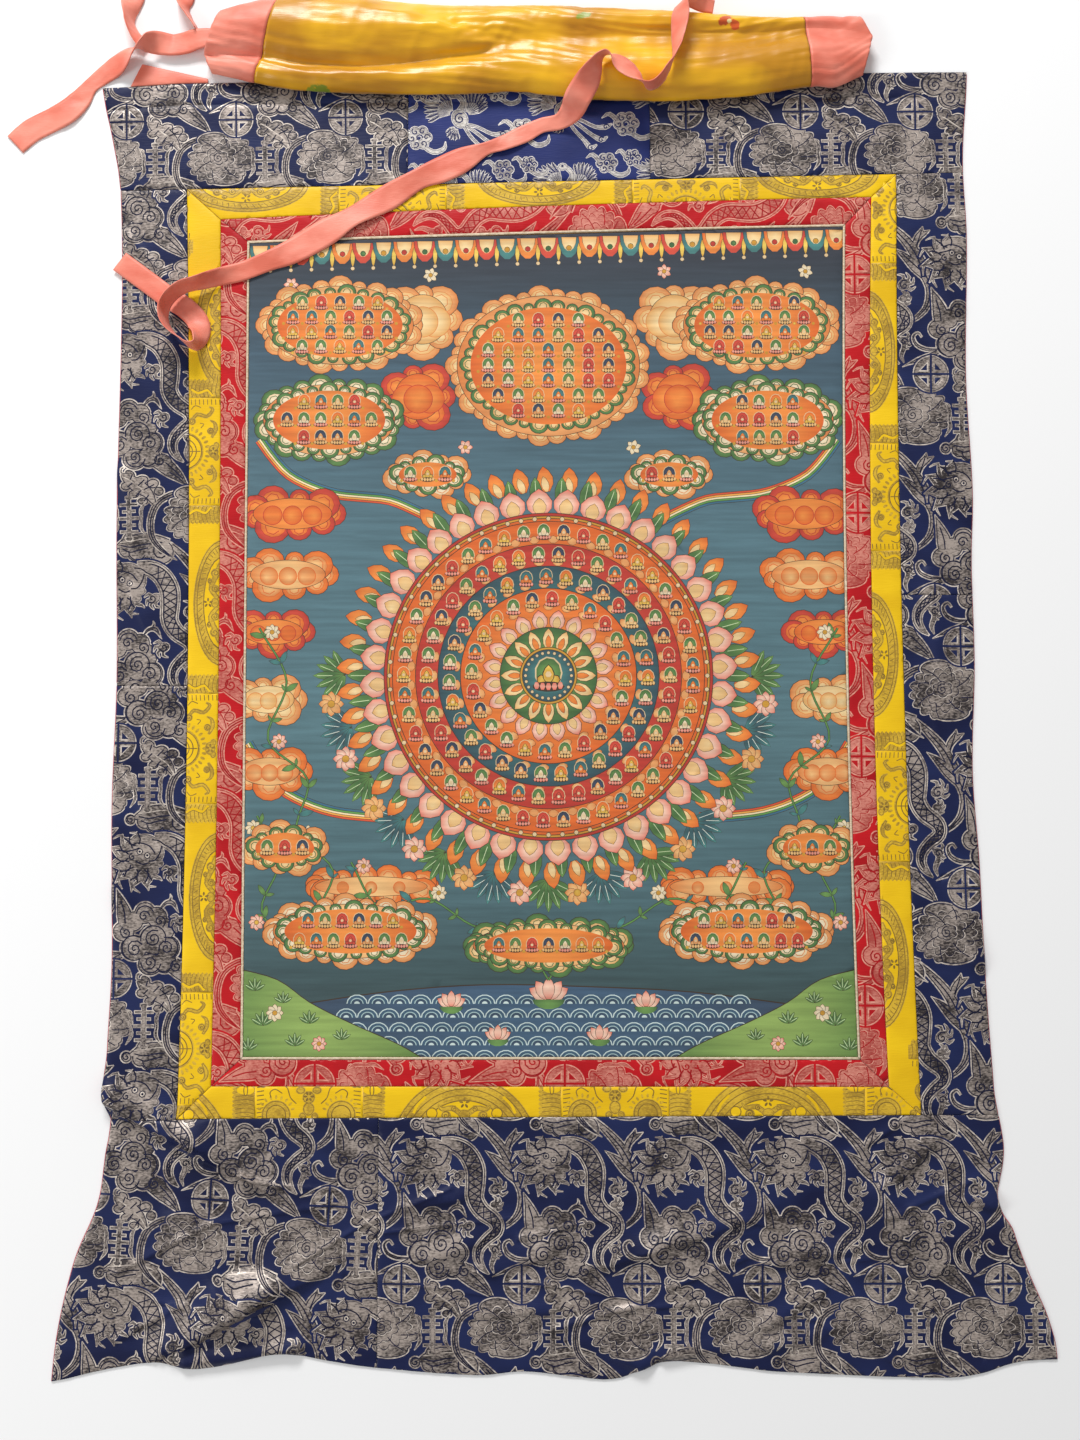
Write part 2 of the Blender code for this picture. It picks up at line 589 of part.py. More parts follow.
# ---- the ribbons ---------------------------------------------------------
def ribbon(name, rows, material, collection):
    """A flat ribbon that follows its rows, turned about its length by their roll."""
    last = len(rows) - 1
    length = sum(math.dist(rows[k][:3], rows[k + 1][:3]) for k in range(last))
    stations = max(last, round(length / RIBBON_CELL))
    bm = grid(stations, 1)
    for vertex in bm.verts:
        t = (vertex.co.x + 0.5) * last
        x, y, z, roll, width = spline(rows, t)
        turn = math.radians(roll)
        z = max(z, 0.5 * (RIBBON + width * abs(math.sin(turn))))
        ahead = Vector(spline(rows, min(t + 0.05, last))[:3])
        behind = Vector(spline(rows, max(t - 0.05, 0.0))[:3])
        along = (ahead - behind).normalized()
        flat = along.cross(Vector((0, 0, 1))).normalized()
        up = flat.cross(along)
        side = flat * math.cos(turn) + up * math.sin(turn)
        vertex.co = to_space(*(Vector((x, y, z)) + side * width * vertex.co.y))
    thing = finish(name, bm, material, collection)
    thicken(thing, RIBBON)
    return thing


def main():
    clear_scene()
    collection = bpy.data.collections.new(NAME)
    bpy.context.scene.collection.children.link(collection)
    materials = {name: make_material(name) for name in COLOURS}

    SEAMS["piping"] = widened("picture", PIPING_WIDTH)
    build_picture(materials, collection)
    frame_strips("piping", "picture", "piping", STRIP_CELL, PIPING,
                 materials["piping"], collection)
    frame_strips("red", "piping", "red", STRIP_CELL, BROCADE, materials["red"], collection)
    frame_strips("yellow", "red", "yellow", STRIP_CELL, BROCADE,
                 materials["yellow"], collection)
    build_blue(materials, collection)

    cover_piece("cover_band_left", 0, COVER_SEAM_LEFT, materials["ribbon"], collection)
    cover_piece("cover", COVER_SEAM_LEFT, COVER_SEAM_RIGHT, materials["cover"], collection)
    cover_piece("cover_band_right", COVER_SEAM_RIGHT, len(COVER) - 1,
                materials["ribbon"], collection)
    for name, rows in RIBBONS.items():
        ribbon(name, rows, materials["ribbon"], collection)
    (x0, x1), apex, end = TUCKED_RIBBON
    edge = run(lambda x: (x, edge_at(HEAD_EDGE, x) + 0.5 * GAP), x0, x1)
    sides = (edge, line(apex, end), line(edge(0), apex), line(edge(1), end))
    sheet("ribbon_tuck", sides, FOLD_CELL, 2 * RIBBON, materials["ribbon"], collection)


main()
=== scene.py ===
# %% [markdown]
# # A thangka in its brocade mount
#
# This lesson makes the looks of a painted scroll that lies face up: silk
# brocade with metal thread, a picture painted on cotton, a gathered satin cover
# and silk ribbons. Every cloth is a thin closed sheet that follows the folds of
# the solid it stands for. Its pattern is cut into the sheet itself, so that each
# yarn or paint has its own faces and an edge that stays sharp up close.
#
# Lengths are millimetres on the cloth, measured from the middle of the picture,
# x to the right and y towards the head, until `to_space` turns them into metres.

import math

import bmesh
import bpy
import numpy as np
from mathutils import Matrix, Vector, kdtree, noise
from mathutils.geometry import delaunay_2d_cdt


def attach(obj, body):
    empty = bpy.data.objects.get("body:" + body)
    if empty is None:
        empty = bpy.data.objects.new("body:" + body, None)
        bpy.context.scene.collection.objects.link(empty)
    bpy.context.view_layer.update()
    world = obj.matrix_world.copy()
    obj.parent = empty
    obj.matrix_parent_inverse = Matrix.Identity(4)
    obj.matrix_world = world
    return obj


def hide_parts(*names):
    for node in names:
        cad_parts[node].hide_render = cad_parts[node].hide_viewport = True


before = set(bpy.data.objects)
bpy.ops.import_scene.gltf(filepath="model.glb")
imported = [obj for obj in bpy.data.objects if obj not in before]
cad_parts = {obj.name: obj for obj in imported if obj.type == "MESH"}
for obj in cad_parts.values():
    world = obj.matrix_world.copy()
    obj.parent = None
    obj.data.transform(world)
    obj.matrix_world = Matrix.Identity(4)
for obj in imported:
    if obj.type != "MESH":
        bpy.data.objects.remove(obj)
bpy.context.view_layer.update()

# %% [markdown]
# ## Places and sizes
#
# The footprint's middle is the frame's origin, a little to the side of the
# picture's middle. A lined brocade is about 1.6 mm thick. Where two cloths are
# sewn together the seam pulls them down a little, which shows as a soft groove.

# %% Places and sizes
MM = 0.001
MIDDLE = (-30.7, -11.4)
CLOTH = 1.6
PIPING = 2.2
SEAM_DIP = 0.7
SEAM_REACH = 3.5
HEM_SHOWS = 0.9
print("brocade", CLOTH, "mm thick, piping", PIPING, "mm")


def to_space(x, y, z):
    """Metres in the frame from millimetres on the cloth."""
    return ((x - MIDDLE[0]) * MM, (y - MIDDLE[1]) * MM, z * MM)

# %% [markdown]
# ## Folds
#
# Folds are the same as in the solids: each runs from one point to another, so
# high at its ends, and falls away over its left and its right like half a wave.
# Heavy brocade never breaks into sharp edges, so this soft ridge suits it.

# %% Folds
FOLDS = (
    # x0, y0, height, x1, y1, height, left, right
    (-436, -446, 9, -352, -489, 7, 34, 15), (-352, -489, 7, -240, -549, 2, 30, 15),
    (-364, -556, 3, -306, -630, 6, 24, 28), (-354, -680, 9, -291, -645, 12, 46, 14),
    (-291, -645, 12, -222, -612, 4, 42, 14), (-352, -697, 5, -245, -684, 6, 16, 18),
    (-138, -549, 3, -86, -541, 3.5, 16, 12), (-112, -598, 4, -70, -583, 3, 22, 15),
    (-56, -611, 4, -2, -594, 5, 26, 15), (52, -606, 5, 104, -590, 5, 28, 15),
    (104, -590, 5, 210, -556, 2.5, 24, 15), (-80, -652, 3, 0, -648, 3.5, 16, 14),
    (36, -676, 2, 90, -700, 6, 20, 22), (112, -690, 5, 176, -684, 2.5, 18, 16),
    (212, -604, 5, 296, -590, 4, 22, 15), (212, -662, 3.5, 262, -634, 4, 18, 15),
    (214, -684, 3, 266, -671, 2, 15, 15), (322, -534, 5, 384, -602, 7, 15, 32),
    (334, -526, 4, 376, -488, 3, 18, 18), (390, -541, 2, 444, -549, 5, 16, 16),
    (292, -612, 2, 376, -614, 2, 15, 15), (380, 72, 2, 392, -20, 3, 16, 18),
    (360, 446, 1.5, 410, 346, 3.5, 18, 20), (386, -206, 2, 424, -312, 3.5, 20, 18),
    (-434, 176, 3.5, -390, 88, 1, 20, 20), (-436, -246, 3, -384, -332, 1, 20, 22),
)


def fold_height(x, y, folds=FOLDS):
    """How far the cloth is lifted at these places, which are arrays."""
    height = np.zeros_like(x)
    for x0, y0, h0, x1, y1, h1, left, right in folds:
        length = math.hypot(x1 - x0, y1 - y0)
        ux, uy = (x1 - x0) / length, (y1 - y0) / length
        along = (x - x0) * ux + (y - y0) * uy
        across = (y - y0) * ux - (x - x0) * uy
        reach = np.where(across > 0, left, right)
        beyond = np.maximum(np.maximum(-along, along - length), 0)
        away = np.minimum(np.hypot(across, beyond) / reach, 1)
        share = np.clip(along / length, 0, 1)
        height += (h0 + (h1 - h0) * share) * 0.5 * (1 + np.cos(math.pi * away))
    return height


print(len(FOLDS), "folds, the highest", max(max(fold[2], fold[5]) for fold in FOLDS), "mm")

# %% [markdown]
# ## Colours and nodes
#
# Colours are written as sRGB hex, the way they are picked, and turned to
# linear light once. `add` puts in a node with its values and links in one line.

# %% Colours and nodes
def linear(hexcode):
    """(r, g, b, 1) in linear light from '#rrggbb'."""
    parts = [int(hexcode[k:k + 2], 16) / 255 for k in (1, 3, 5)]
    return (*(c / 12.92 if c <= 0.04045 else ((c + 0.055) / 1.055) ** 2.4 for c in parts), 1)


def add(tree, kind, inputs=None, **values):
    """A node of this kind. values set its properties or inputs. inputs are linked, or set to a value."""
    node = tree.nodes.new(kind)
    for name, value in values.items():
        if hasattr(node, name):
            setattr(node, name, value)
        else:
            node.inputs[name.replace("_", " ")].default_value = value
    for place, source in (inputs or {}).items():
        if isinstance(source, bpy.types.NodeSocket):
            tree.links.new(source, node.inputs[place])
        else:
            node.inputs[place].default_value = source
    return node


def new_material(name, roughness, metallic=0, sheen=0):
    """A Principled material, with its node tree and shader."""
    material = bpy.data.materials.new(name)
    material.use_nodes = True
    tree = material.node_tree
    shader = tree.nodes["Principled BSDF"]
    shader.inputs["Roughness"].default_value = roughness
    shader.inputs["Metallic"].default_value = metallic
    shader.inputs["Sheen Weight"].default_value = sheen
    return material, tree, shader


def cloth_coordinates(tree, scale=(1, 1, 1)):
    """Millimetres on the cloth, from the object's own coordinates."""
    place = add(tree, "ShaderNodeTexCoord")
    return add(tree, "ShaderNodeMapping", {"Vector": place.outputs["Object"]},
               Scale=tuple(1000 * s for s in scale)).outputs["Vector"]

# %% [markdown]
# ## Thread
#
# No dyed thread has one even colour. Noise with small spots, longer along the
# weft, mixes a dark and a light tone. Where asked for, broad patches at random
# places are painted shade and painted sheen, darker and lighter as folds in the
# light would be. Rows of weft then catch the light as low ridges. Real rows are
# about 0.3 mm apart, too fine to show from here, so they are drawn 1.4 mm apart.

# %% Thread
ALONG_WEFT = (0.5, 1, 1)


def two_tone(tree, shader, dark, light, size, stretch=(1, 1, 1), patch=0):
    """Mixes two colours by noise with spots and, if asked, broad patches, this many millimetres long."""
    where = cloth_coordinates(tree, tuple(s / size for s in stretch))
    shade = add(tree, "ShaderNodeTexNoise", {"Vector": where}, Scale=1, Detail=3).outputs["Fac"]
    # broad patches at random places are painted shade and painted sheen
    if patch:
        where = cloth_coordinates(tree, (1 / patch, 1 / patch, 1 / patch))
        broad = add(tree, "ShaderNodeTexNoise", {"Vector": where}, Scale=1, Detail=2)
        shade = add(tree, "ShaderNodeMix", {0: 0.5, 2: shade, 3: broad.outputs["Fac"]},
                    data_type="FLOAT").outputs[0]
    spread = 0.09 if patch else 0.14
    share = add(tree, "ShaderNodeMapRange", {"Value": shade}, From_Min=0.5 - spread,
                From_Max=0.5 + spread)
    colour = add(tree, "ShaderNodeMix", {0: share.outputs["Result"], 6: linear(dark), 7: linear(light)},
                 data_type="RGBA").outputs[2]
    tree.links.new(colour, shader.inputs["Base Color"])
    return colour


def weave_bump(tree, shader, pitch, depth, across=1):
    """Rows of weft this many millimetres apart."""
    where = cloth_coordinates(tree, (0.15 * across / pitch, 1 / pitch, 1 / pitch))
    rows = add(tree, "ShaderNodeTexNoise", {"Vector": where}, Scale=1, Detail=1)
    bump = add(tree, "ShaderNodeBump", {"Height": rows.outputs["Fac"]},
               Strength=depth, Distance=0.0004)
    tree.links.new(bump.outputs["Normal"], shader.inputs["Normal"])


def woven(name, dark, light, size, roughness, metallic=0, sheen=0, patch=0, gloss=0.5,
          pitch=1.4, depth=0.35):
    """Silk or metal thread in rows of weft."""
    material, tree, shader = new_material(name, roughness, metallic, sheen)
    shader.inputs["Specular IOR Level"].default_value = gloss
    two_tone(tree, shader, dark, light, size, ALONG_WEFT, patch)
    weave_bump(tree, shader, pitch, depth)
    return material

# %% [markdown]
# ## The yarns of the brocades
#
# Each brocade has four yarns: its satin ground, the figures, their bright rims
# and their contours. Satin is long floats of silk, which look deep and smooth.
# Gilt thread is a metal strip wound on silk: it glitters in specks rather than
# shining as a whole, so it is only partly metallic and rather rough.

# %% The yarns of the brocades
# nearly black satin, on which the silver glitters in specks
BLUE = [
    woven("blue silk satin ground", "#10163a", "#1c2650", 60, 0.5, gloss=0.2),
    # the silver's broad dark and light patches are painted shade and painted sheen
    woven("silver gilt thread brocaded", "#30292a", "#ab9e95", 1.6, 0.46, 0.28, patch=28, depth=0.5),
    woven("silver gilt thread edging", "#7f736c", "#d8ccbf", 2.4, 0.44, 0.28, patch=20),
    woven("blue black silk contour", "#0b0e26", "#171936", 6, 0.6, gloss=0.2),
]
# fresher blue, with silver that has hardly tarnished
BRIGHT_BLUE = [
    woven("bright blue silk satin ground", "#1a2458", "#26326e", 60, 0.5, gloss=0.2),
    woven("bright silver thread brocaded", "#857e7b", "#cbc5be", 1.6, 0.44, 0.28, patch=26),
    woven("bright silver thread edging", "#b5aea7", "#e0dad2", 2, 0.42, 0.28),
    woven("bright blue silk contour", "#121848", "#1c245c", 6, 0.6, gloss=0.2),
]
# deep red satin with soft rose figures of plain silk, which glow but never glitter
RED = [
    woven("red silk satin ground", "#a80f18", "#c4161e", 45, 0.5, gloss=0.2),
    woven("rose silk weft brocaded", "#aa463e", "#d28474", 1.7, 0.5, gloss=0.3, patch=30),
    woven("rose silk weft edging", "#c67464", "#e2a08c", 2.4, 0.5, gloss=0.3),
    woven("red silk contour", "#930f16", "#ad151b", 6, 0.6, gloss=0.2),
]
# lemon satin, and figures of gold-coloured silk that shine along the weft
YELLOW = [
    woven("yellow silk satin ground", "#e2b404", "#f2c60c", 45, 0.5, gloss=0.3),
    woven("gold silk weft brocaded", "#a98520", "#d8b02c", 1.4, 0.45, patch=30),
    woven("gold silk weft edging", "#b18d22", "#d0aa30", 2, 0.45),
    woven("brown silk contour", "#715617", "#94731f", 4, 0.55),
]
print(len(BLUE + BRIGHT_BLUE + RED + YELLOW), "yarns")

# %% [markdown]
# ## Drawing on cloth
#
# A shape is a function of one number, how far it is drawn in from its edge, and
# gives its outline as points. That makes a bright rim, a dark contour and a body
# from one shape: the same outline three times, each a little smaller.


# %% Points and directions
def smooth(rows, steps):
    """A smooth curve through rows of numbers, with this many steps from one to the next."""
    rows = np.asarray(rows, float)
    ends = np.vstack((2 * rows[0] - rows[1], rows, 2 * rows[-1] - rows[-2]))
    out = []
    for a, b, c, d in zip(ends, ends[1:], ends[2:], ends[3:]):
        for t in np.arange(steps) / steps:
            out.append(0.5 * (2 * b + (c - a) * t + (2 * a - 5 * b + 4 * c - d) * t * t
                              + (3 * b - a - 3 * c + d) * t ** 3))
    return np.array(out + [rows[-1]])


def toward(x, y, reach, angle, rise=None):
    """The point this far from x, y, at an angle in radians, with its own reach upwards if given."""
    rise = reach if rise is None else rise
    return x + reach * math.cos(angle), y + rise * math.sin(angle)


def arc_points(x, y, radius, start, end, count=6):
    return [toward(x, y, radius, a) for a in np.radians(np.linspace(start, end, count))]


def unit(rows):
    """Each row's direction, one long."""
    return rows / np.maximum(np.hypot(rows[:, 0], rows[:, 1]), 1e-9)[:, None]


def sideways(rows):
    """Each direction turned a quarter to the left."""
    return np.column_stack((-rows[:, 1], rows[:, 0]))

# %% [markdown]
# ## Shapes
#
# Every figure of the cloths is put together from these few: ovals, scalloped
# rounds, strokes that swell and taper like a brush's, spirals and plain blocks.

# %% Shapes
def turned(px, py, x, y, turn):
    """The points turned by these degrees and moved to x, y."""
    c, s = math.cos(math.radians(turn)), math.sin(math.radians(turn))
    return np.column_stack((x + px * c - py * s, y + px * s + py * c))


def oval(x, y, rx, ry=None, turn=0, points=None):
    """A circle, or an oval turned by these degrees."""
    ry = rx if ry is None else ry

    def at(by=0):
        a, b = max(rx - by, 0.2), max(ry - by, 0.2)
        count = points or max(8, int(2 * math.pi * max(a, b) / 2.6))
        angle = np.linspace(0, 2 * math.pi, count, endpoint=False)
        return turned(a * np.cos(angle), b * np.sin(angle), x, y, turn)
    return at


def half_oval(x, y, rx, ry):
    """The part of an oval above the line through its middle."""
    def at(by=0):
        angle = np.linspace(0, math.pi, max(8, int(rx / 3)))
        return np.column_stack((x + (rx - by) * np.cos(angle), y + (ry - by) * np.sin(angle)))
    return at


def lobed(x, y, rx, ry, lobes, depth=0.12, turn=0, per_lobe=5):
    """A round shape with a scalloped edge, such as a flower or a cloud."""
    def at(by=0):
        angle = np.linspace(0, 2 * math.pi, lobes * per_lobe, endpoint=False)
        swell = 1 - depth + depth * np.abs(np.sin(0.5 * lobes * angle))
        a, b = max(rx - by, 0.3), max(ry - by, 0.3)
        return turned(a * swell * np.cos(angle), b * swell * np.sin(angle), x, y, turn)
    return at


def band(rows, steps=3):
    """A stroke through rows of x, y and width."""
    def at(by=0):
        path = smooth(rows, steps)
        half = np.maximum(0.5 * path[:, 2] - by, 0.12)
        along = unit(np.gradient(path[:, :2], axis=0))
        side = sideways(along) * half[:, None]
        if by:
            path[0, :2] += along[0] * min(by, 1)
            path[-1, :2] -= along[-1] * min(by, 1)
        return np.vstack((path[:, :2] + side, (path[:, :2] - side)[::-1]))
    return at


def line(points, width=0.7, steps=3):
    return band([(x, y, width) for x, y in points], steps)


def curl(x, y, radius, turns=1.5, start=0, width=0.7, hand=1):
    """A spiral line that winds in to its middle."""
    count = max(6, int(9 * turns))
    rows = []
    for k in range(count + 1):
        angle = math.radians(start) + hand * 2 * math.pi * turns * (k / count)
        rows.append((*toward(x, y, radius * (1 - k / count) + 0.4, angle), width))
    return band(rows, 1)


def slab(x0, y0, x1, y1):
    """A plain upright block."""
    def at(by=0):
        return np.array([(x0 + by, y0 + by), (x1 - by, y0 + by), (x1 - by, y1 - by), (x0 + by, y1 - by)])
    return at


def polygon(*points):
    """A shape with straight edges that shrinks towards its middle."""
    def at(by=0):
        middle = np.mean(points, axis=0)
        out = np.array(points, float) - middle
        size = np.hypot(out[:, 0], out[:, 1]).mean()
        return middle + out * max(1 - by / size, 0.1)
    return at

# %% [markdown]
# ## A woven figure
#
# The brocades weave each figure as a bright rim, a dark contour and a body with
# dark lines on it. So a figure is made from its parts, and a drawing is a list
# of (yarn, outline) from the lowest up. Long rows of alike parts are listed by
# one helper for each kind.

# %% A woven figure
GROUND, THREAD, RIM, DARK = range(4)


def figure(parts, lines=(), lights=(), rim=1.2, contour=1, halo=0):
    """A woven figure: a bright rim round all its parts, a dark contour, its body, then its lines."""
    drawing = [(GROUND, part(-halo)) for part in parts if halo]
    drawing += [(RIM, part(0)) for part in parts]
    drawing += [(DARK, part(rim)) for part in parts]
    drawing += [(THREAD, part(rim + contour)) for part in parts]
    drawing += [(DARK, mark(-0.2)) for mark in lines]
    return drawing + [(RIM, mark(0)) for mark in lights]


def laid_on(yarn, *shapes):
    """Plain shapes of one yarn."""
    return [(yarn, shape()) for shape in shapes]


def ovals(*rows):
    return [oval(*row) for row in rows]


def curls(*rows):
    return [curl(*row) for row in rows]


def bands(*rows):
    return [band(row) for row in rows]


def strokes(width, *paths):
    return [line(path, width) for path in paths]

# %% [markdown]
# ## The leaf and the stems
#
# The figures of the blue brocade stand in columns: a volute leaf, a dragon with
# its stem, a cloud, a roundel, a small leaf, a peony and a stacked fret. Each is
# drawn in millimetres from the dragon's brow, at the size it has in the cloth.
# Volutes and stems are strokes that taper, with spirals where they roll up.

# %% The leaf and the stems
def volute_leaf():
    parts = ovals((-12.5, 34, 6.5), (2, 33, 9.5), (13, 30, 12, 11), (24, 32, 10), (38, 29.5, 13.5))
    parts += bands([(-9, 35, 7), (3, 41, 12), (16, 42, 16), (30, 41, 15), (46, 38, 11)],
                   [(0, 42, 8), (1, 47, 5), (5, 50, 2.8), (9, 47, 1)])
    lines = curls((38, 30, 9.5, 1.6, 70, 1.1), (-12.5, 34, 4.2, 1.3, 40, 0.9))
    lines += strokes(0.9, [(-4, 37), (6, 35), (16, 37), (27, 38)], [(-2, 33), (6, 30), (14, 32), (24, 34)])
    lines += strokes(0.8, arc_points(13, 31, 9, 180, 330, 6))
    lights = strokes(0.9, [(-5, 40), (6, 41), (18, 43), (32, 42), (46, 37)])
    return figure(parts, lines, lights) + laid_on(DARK, oval(37.5, 30.5, 2.8, 3.4))


def dragon_stem():
    stem = [(43, 40, 6), (58, 27, 9), (74, 9, 12), (85, -12, 14), (93.5, -33, 11),
            (90.5, -52, 8.5), (80, -64, 6.5), (66, -72, 3.5), (51, -79, 0.8)]
    parts = bands(stem, [(77, 6, 8), (80, 15, 9), (85, 22, 9), (87, 30, 1.2)],
                  [(82, 17, 6), (88, 22, 7), (95, 26, 1.2)],
                  [(90, -24, 9), (79, -12, 13), (68, -1, 9.5), (56, 8, 0.8)])
    lines = strokes(0.9, [(x, y) for x, y, _ in stem[1:-2]])
    lines += strokes(0.8, [(89, -20), (78, -10), (65, 2)], [(80, 10), (84, 20), (86, 26)])
    return figure(parts, lines)

# %% [markdown]
# ## The dragon
#
# The dragon's body is one stroke of changing width, and its scales are short
# lines laid across that stroke. The mane and the paws repeat one lock and one
# toe by a loop, with the small differences that a weaver's drawing has.

# %% The dragon
SPINE = [(12, 15, 13), (26, 13, 17.5), (38, 5.5, 20.5), (46, -9, 21.5), (46.5, -25, 20.5),
         (46, -39, 19), (53, -51, 18), (66, -61, 16.5), (67.5, -71, 14.5), (58, -79, 13),
         (50.5, -88, 12), (49.5, -98, 10.5), (54, -106, 7.5), (61, -112, 2)]
PAWS = (
    # x, y, reach, the way it faces in degrees
    (31, -17, 9, 215), (67, -30, 10, 30), (40, -66, 9, 200), (66, -88, 8, -20), (66, -45, 7, 10),
)
BROW = -4


def paw(x, y, reach, facing):
    """A clawed foot: a pad with four hooked toes."""
    parts = ovals((x, y, 0.75 * reach, 0.6 * reach, facing))
    for spread in (-70, -24, 22, 66):
        a = math.radians(facing + spread)
        b = math.radians(facing + spread + 30)
        parts.append(band([(*toward(x, y, 0.3 * reach, a), 4), (*toward(x, y, 0.9 * reach, a), 4),
                           (*toward(x, y, 1.25 * reach, b), 1.4)], 2))
    return parts


def mane():
    """Waving locks round the back of the dragon's head."""
    locks = []
    for k in range(15):
        a = math.radians(96 + 15 * k)
        wave = 0.16 if k % 2 else -0.10
        reach = 32 + 5 * math.sin(math.radians(14 * k)) - (5 if k < 3 else 0)
        locks.append(band([(*toward(0, BROW, 12, a), 7.5), (*toward(0, BROW, 22, a + wave, 20), 5.5),
                           (*toward(0, BROW, 0.88 * reach, a - wave, 0.86 * reach), 3.8),
                           (*toward(0, BROW, reach, a + 0.12), 1.2)], 2))
    return locks


def scales():
    """Crossed lines on the dragon's body, its two inner edges and its two bright outer ones."""
    lines, edges = [], []
    spine = smooth(SPINE, 6)
    along = unit(np.gradient(spine[:, :2], axis=0))
    side = sideways(along)
    for k in range(10, len(spine) - 14, 3):
        reach = side[k] * (0.5 * spine[k, 2] - 4.2)
        for hand in (-1, 1):
            a = spine[k, :2] - reach - hand * along[k] * 3.8
            b = spine[k, :2] + reach + hand * along[k] * 3.8
            lines.append(line([a, b], 0.75, 1))
    for hand in (-1, 1):
        inner = spine[6:-8, :2] + hand * side[6:-8] * (0.5 * spine[6:-8, 2] - 3.9)[:, None]
        lines.append(line(inner[::3], 0.9, 2))
        outer = spine[4:-8, :2] + hand * side[4:-8] * (0.5 * spine[4:-8, 2] - 2.6)[:, None]
        edges.append(line(outer[::3], 0.9, 2))
    return lines, edges


def dragon():
    parts = [band(SPINE, 4)]
    for row in PAWS:
        parts += paw(*row)
    parts += [lobed(-2, -5, 25, 22, 13, 0.16), oval(4, 3, 19, 17, -18), *mane()]
    parts += bands([(58, -82, 3), (66, -92, 6), (63, -103, 5), (66, -112, 1)])
    lines, edges = scales()
    for k in range(13):
        a = math.radians(104 + 16 * k)
        wave = 0.2 if k % 2 else -0.14
        lines.append(line([toward(0, -3, 14, a, 13), toward(0, -3, 20, a + wave, 18),
                           toward(0, -3, 27, a - 0.05, 25)], 1.1, 2))
    lines += strokes(1, [(-11, 9), (-3, 11), (7, 8), (13, 1)]) + strokes(0.9, [(-13, 3), (-8, 4), (-3, 6)])
    lines += strokes(1, [(7, -7), (13, -6), (18, 1), (20, 8)], [(-6, -7), (0, -10), (6, -9)])
    lines += strokes(0.9, [(10, 14), (17, 13), (24, 8)])
    lines += curls((-10, -3, 3.4, 1.2, 90, 0.9), (28, -17, 4.5, 1.3, 200, 0.9), (67, -31, 5, 1.3, 60, 0.9),
                   (40, -66, 4, 1.2, 200, 0.9), (66, -89, 3.6, 1.2, 0, 0.9))
    drawing = figure(parts, lines, edges, 1, 0.5, halo=1.8)
    for x, y in ((-2.4, 2.4), (5.2, -1.4)):
        for yarn, size in ((DARK, 3.4), (RIM, 2.4), (DARK, 1.2)):
            drawing += laid_on(yarn, oval(x, y, size))
    return drawing

# %% [markdown]
# ## The cloud and the roundel
#
# A cloud is a cluster of round lobes, each with a spiral in it, that trails off
# in tapering wisps. The roundel is a disc with four corners cut out of it and a
# cross left bare between them, so the ground shows through.

# %% The cloud and the roundel
ROUNDEL = (-26.5, -122.2, 18.9)
def cloud():
    parts = ovals((-17, -76, 12.5, 11), (-7, -66, 11), (4, -58, 12), (16, -62, 11.5), (22.5, -74, 13),
                  (-6.5, -92, 15, 14), (14, -84, 16), (28, -92, 13), (10, -108, 13.5, 12),
                  (25, -106, 13, 12), (39, -112, 11, 10))
    parts += bands(
        [(-14, -76, 16), (-16, -60, 17), (-20, -46, 10), (-25, -33, 1)],
        [(32, -108, 19), (45, -118, 18), (56, -127, 12), (66, -137, 1.4)],
        [(-18, -97, 4), (-31, -97, 5.5), (-41, -92, 5.5), (-44, -84, 4.5), (-39, -80, 3.5),
         (-35, -84.5, 2.8)],
        [(-18, -99, 7), (-28, -104, 7), (-40, -108, 6), (-56, -115, 1)],
        [(19, -54, 4), (25, -48, 5.5), (32, -48, 6), (38, -58, 1)],
        [(27, -48, 4), (30, -43, 3.5), (29, -39, 1)])
    lines = curls((-14.5, -77, 6, 1.6, 120, 1), (13, -83, 8.5, 1.9, 60, 1), (-5.5, -93, 8.5, 1.9, 30, 1),
                  (26, -92, 7.5, 1.7, 200, 1, -1), (10, -106, 6.5, 1.6, 250, 1), (36, -110, 6, 1.6, 90, 1),
                  (3, -61, 5.5, 1.4, 10, 1), (19, -66, 6, 1.5, 300, 1))
    arcs = ((-6.5, -92, 12, 60, 250, 8), (13, -83, 12.5, -20, 190, 9), (27, -92, 10.5, -60, 110, 8),
            (11, -106, 10, 180, 350, 8), (4, -60, 9, 20, 170, 7), (24, -106, 9, 220, 360, 7))
    lines += strokes(0.9, *(arc_points(*arc) for arc in arcs), [(42, -112), (50, -119), (60, -129)])
    lines += strokes(0.8, [(46, -122), (53, -126), (60, -132)])
    lines += strokes(0.9, [(-15, -68), (-16, -58), (-20, -46)])
    return figure(parts, lines, halo=1.8)


def roundel():
    x, y, r = ROUNDEL
    drawing = []
    for yarn, size in ((GROUND, r + 1.6), (RIM, r), (DARK, r - 1.3), (THREAD, r - 1.9)):
        drawing += laid_on(yarn, oval(x, y, size))
    for dx, dy in ((1, 1), (1, -1), (-1, 1), (-1, -1)):
        for yarn, inner, outer in ((RIM, 2.4, 13.4), (GROUND, 3.9, 10.6)):
            drawing += laid_on(yarn, polygon(
                (x + dx * inner, y + dy * inner), (x + dx * outer, y + dy * inner),
                (x + dx * inner, y + dy * outer)))
    cross = ([(x - r, y), (x + r, y)], [(x, y - r), (x, y + r)])
    return drawing + laid_on(GROUND, *(line(bar, 2.1, 1) for bar in cross))

# %% [markdown]
# ## The small leaf, the peony and the fret
#
# The peony is three scalloped rings, one inside the other, under eight bent
# veins. Straight bars make the fret.

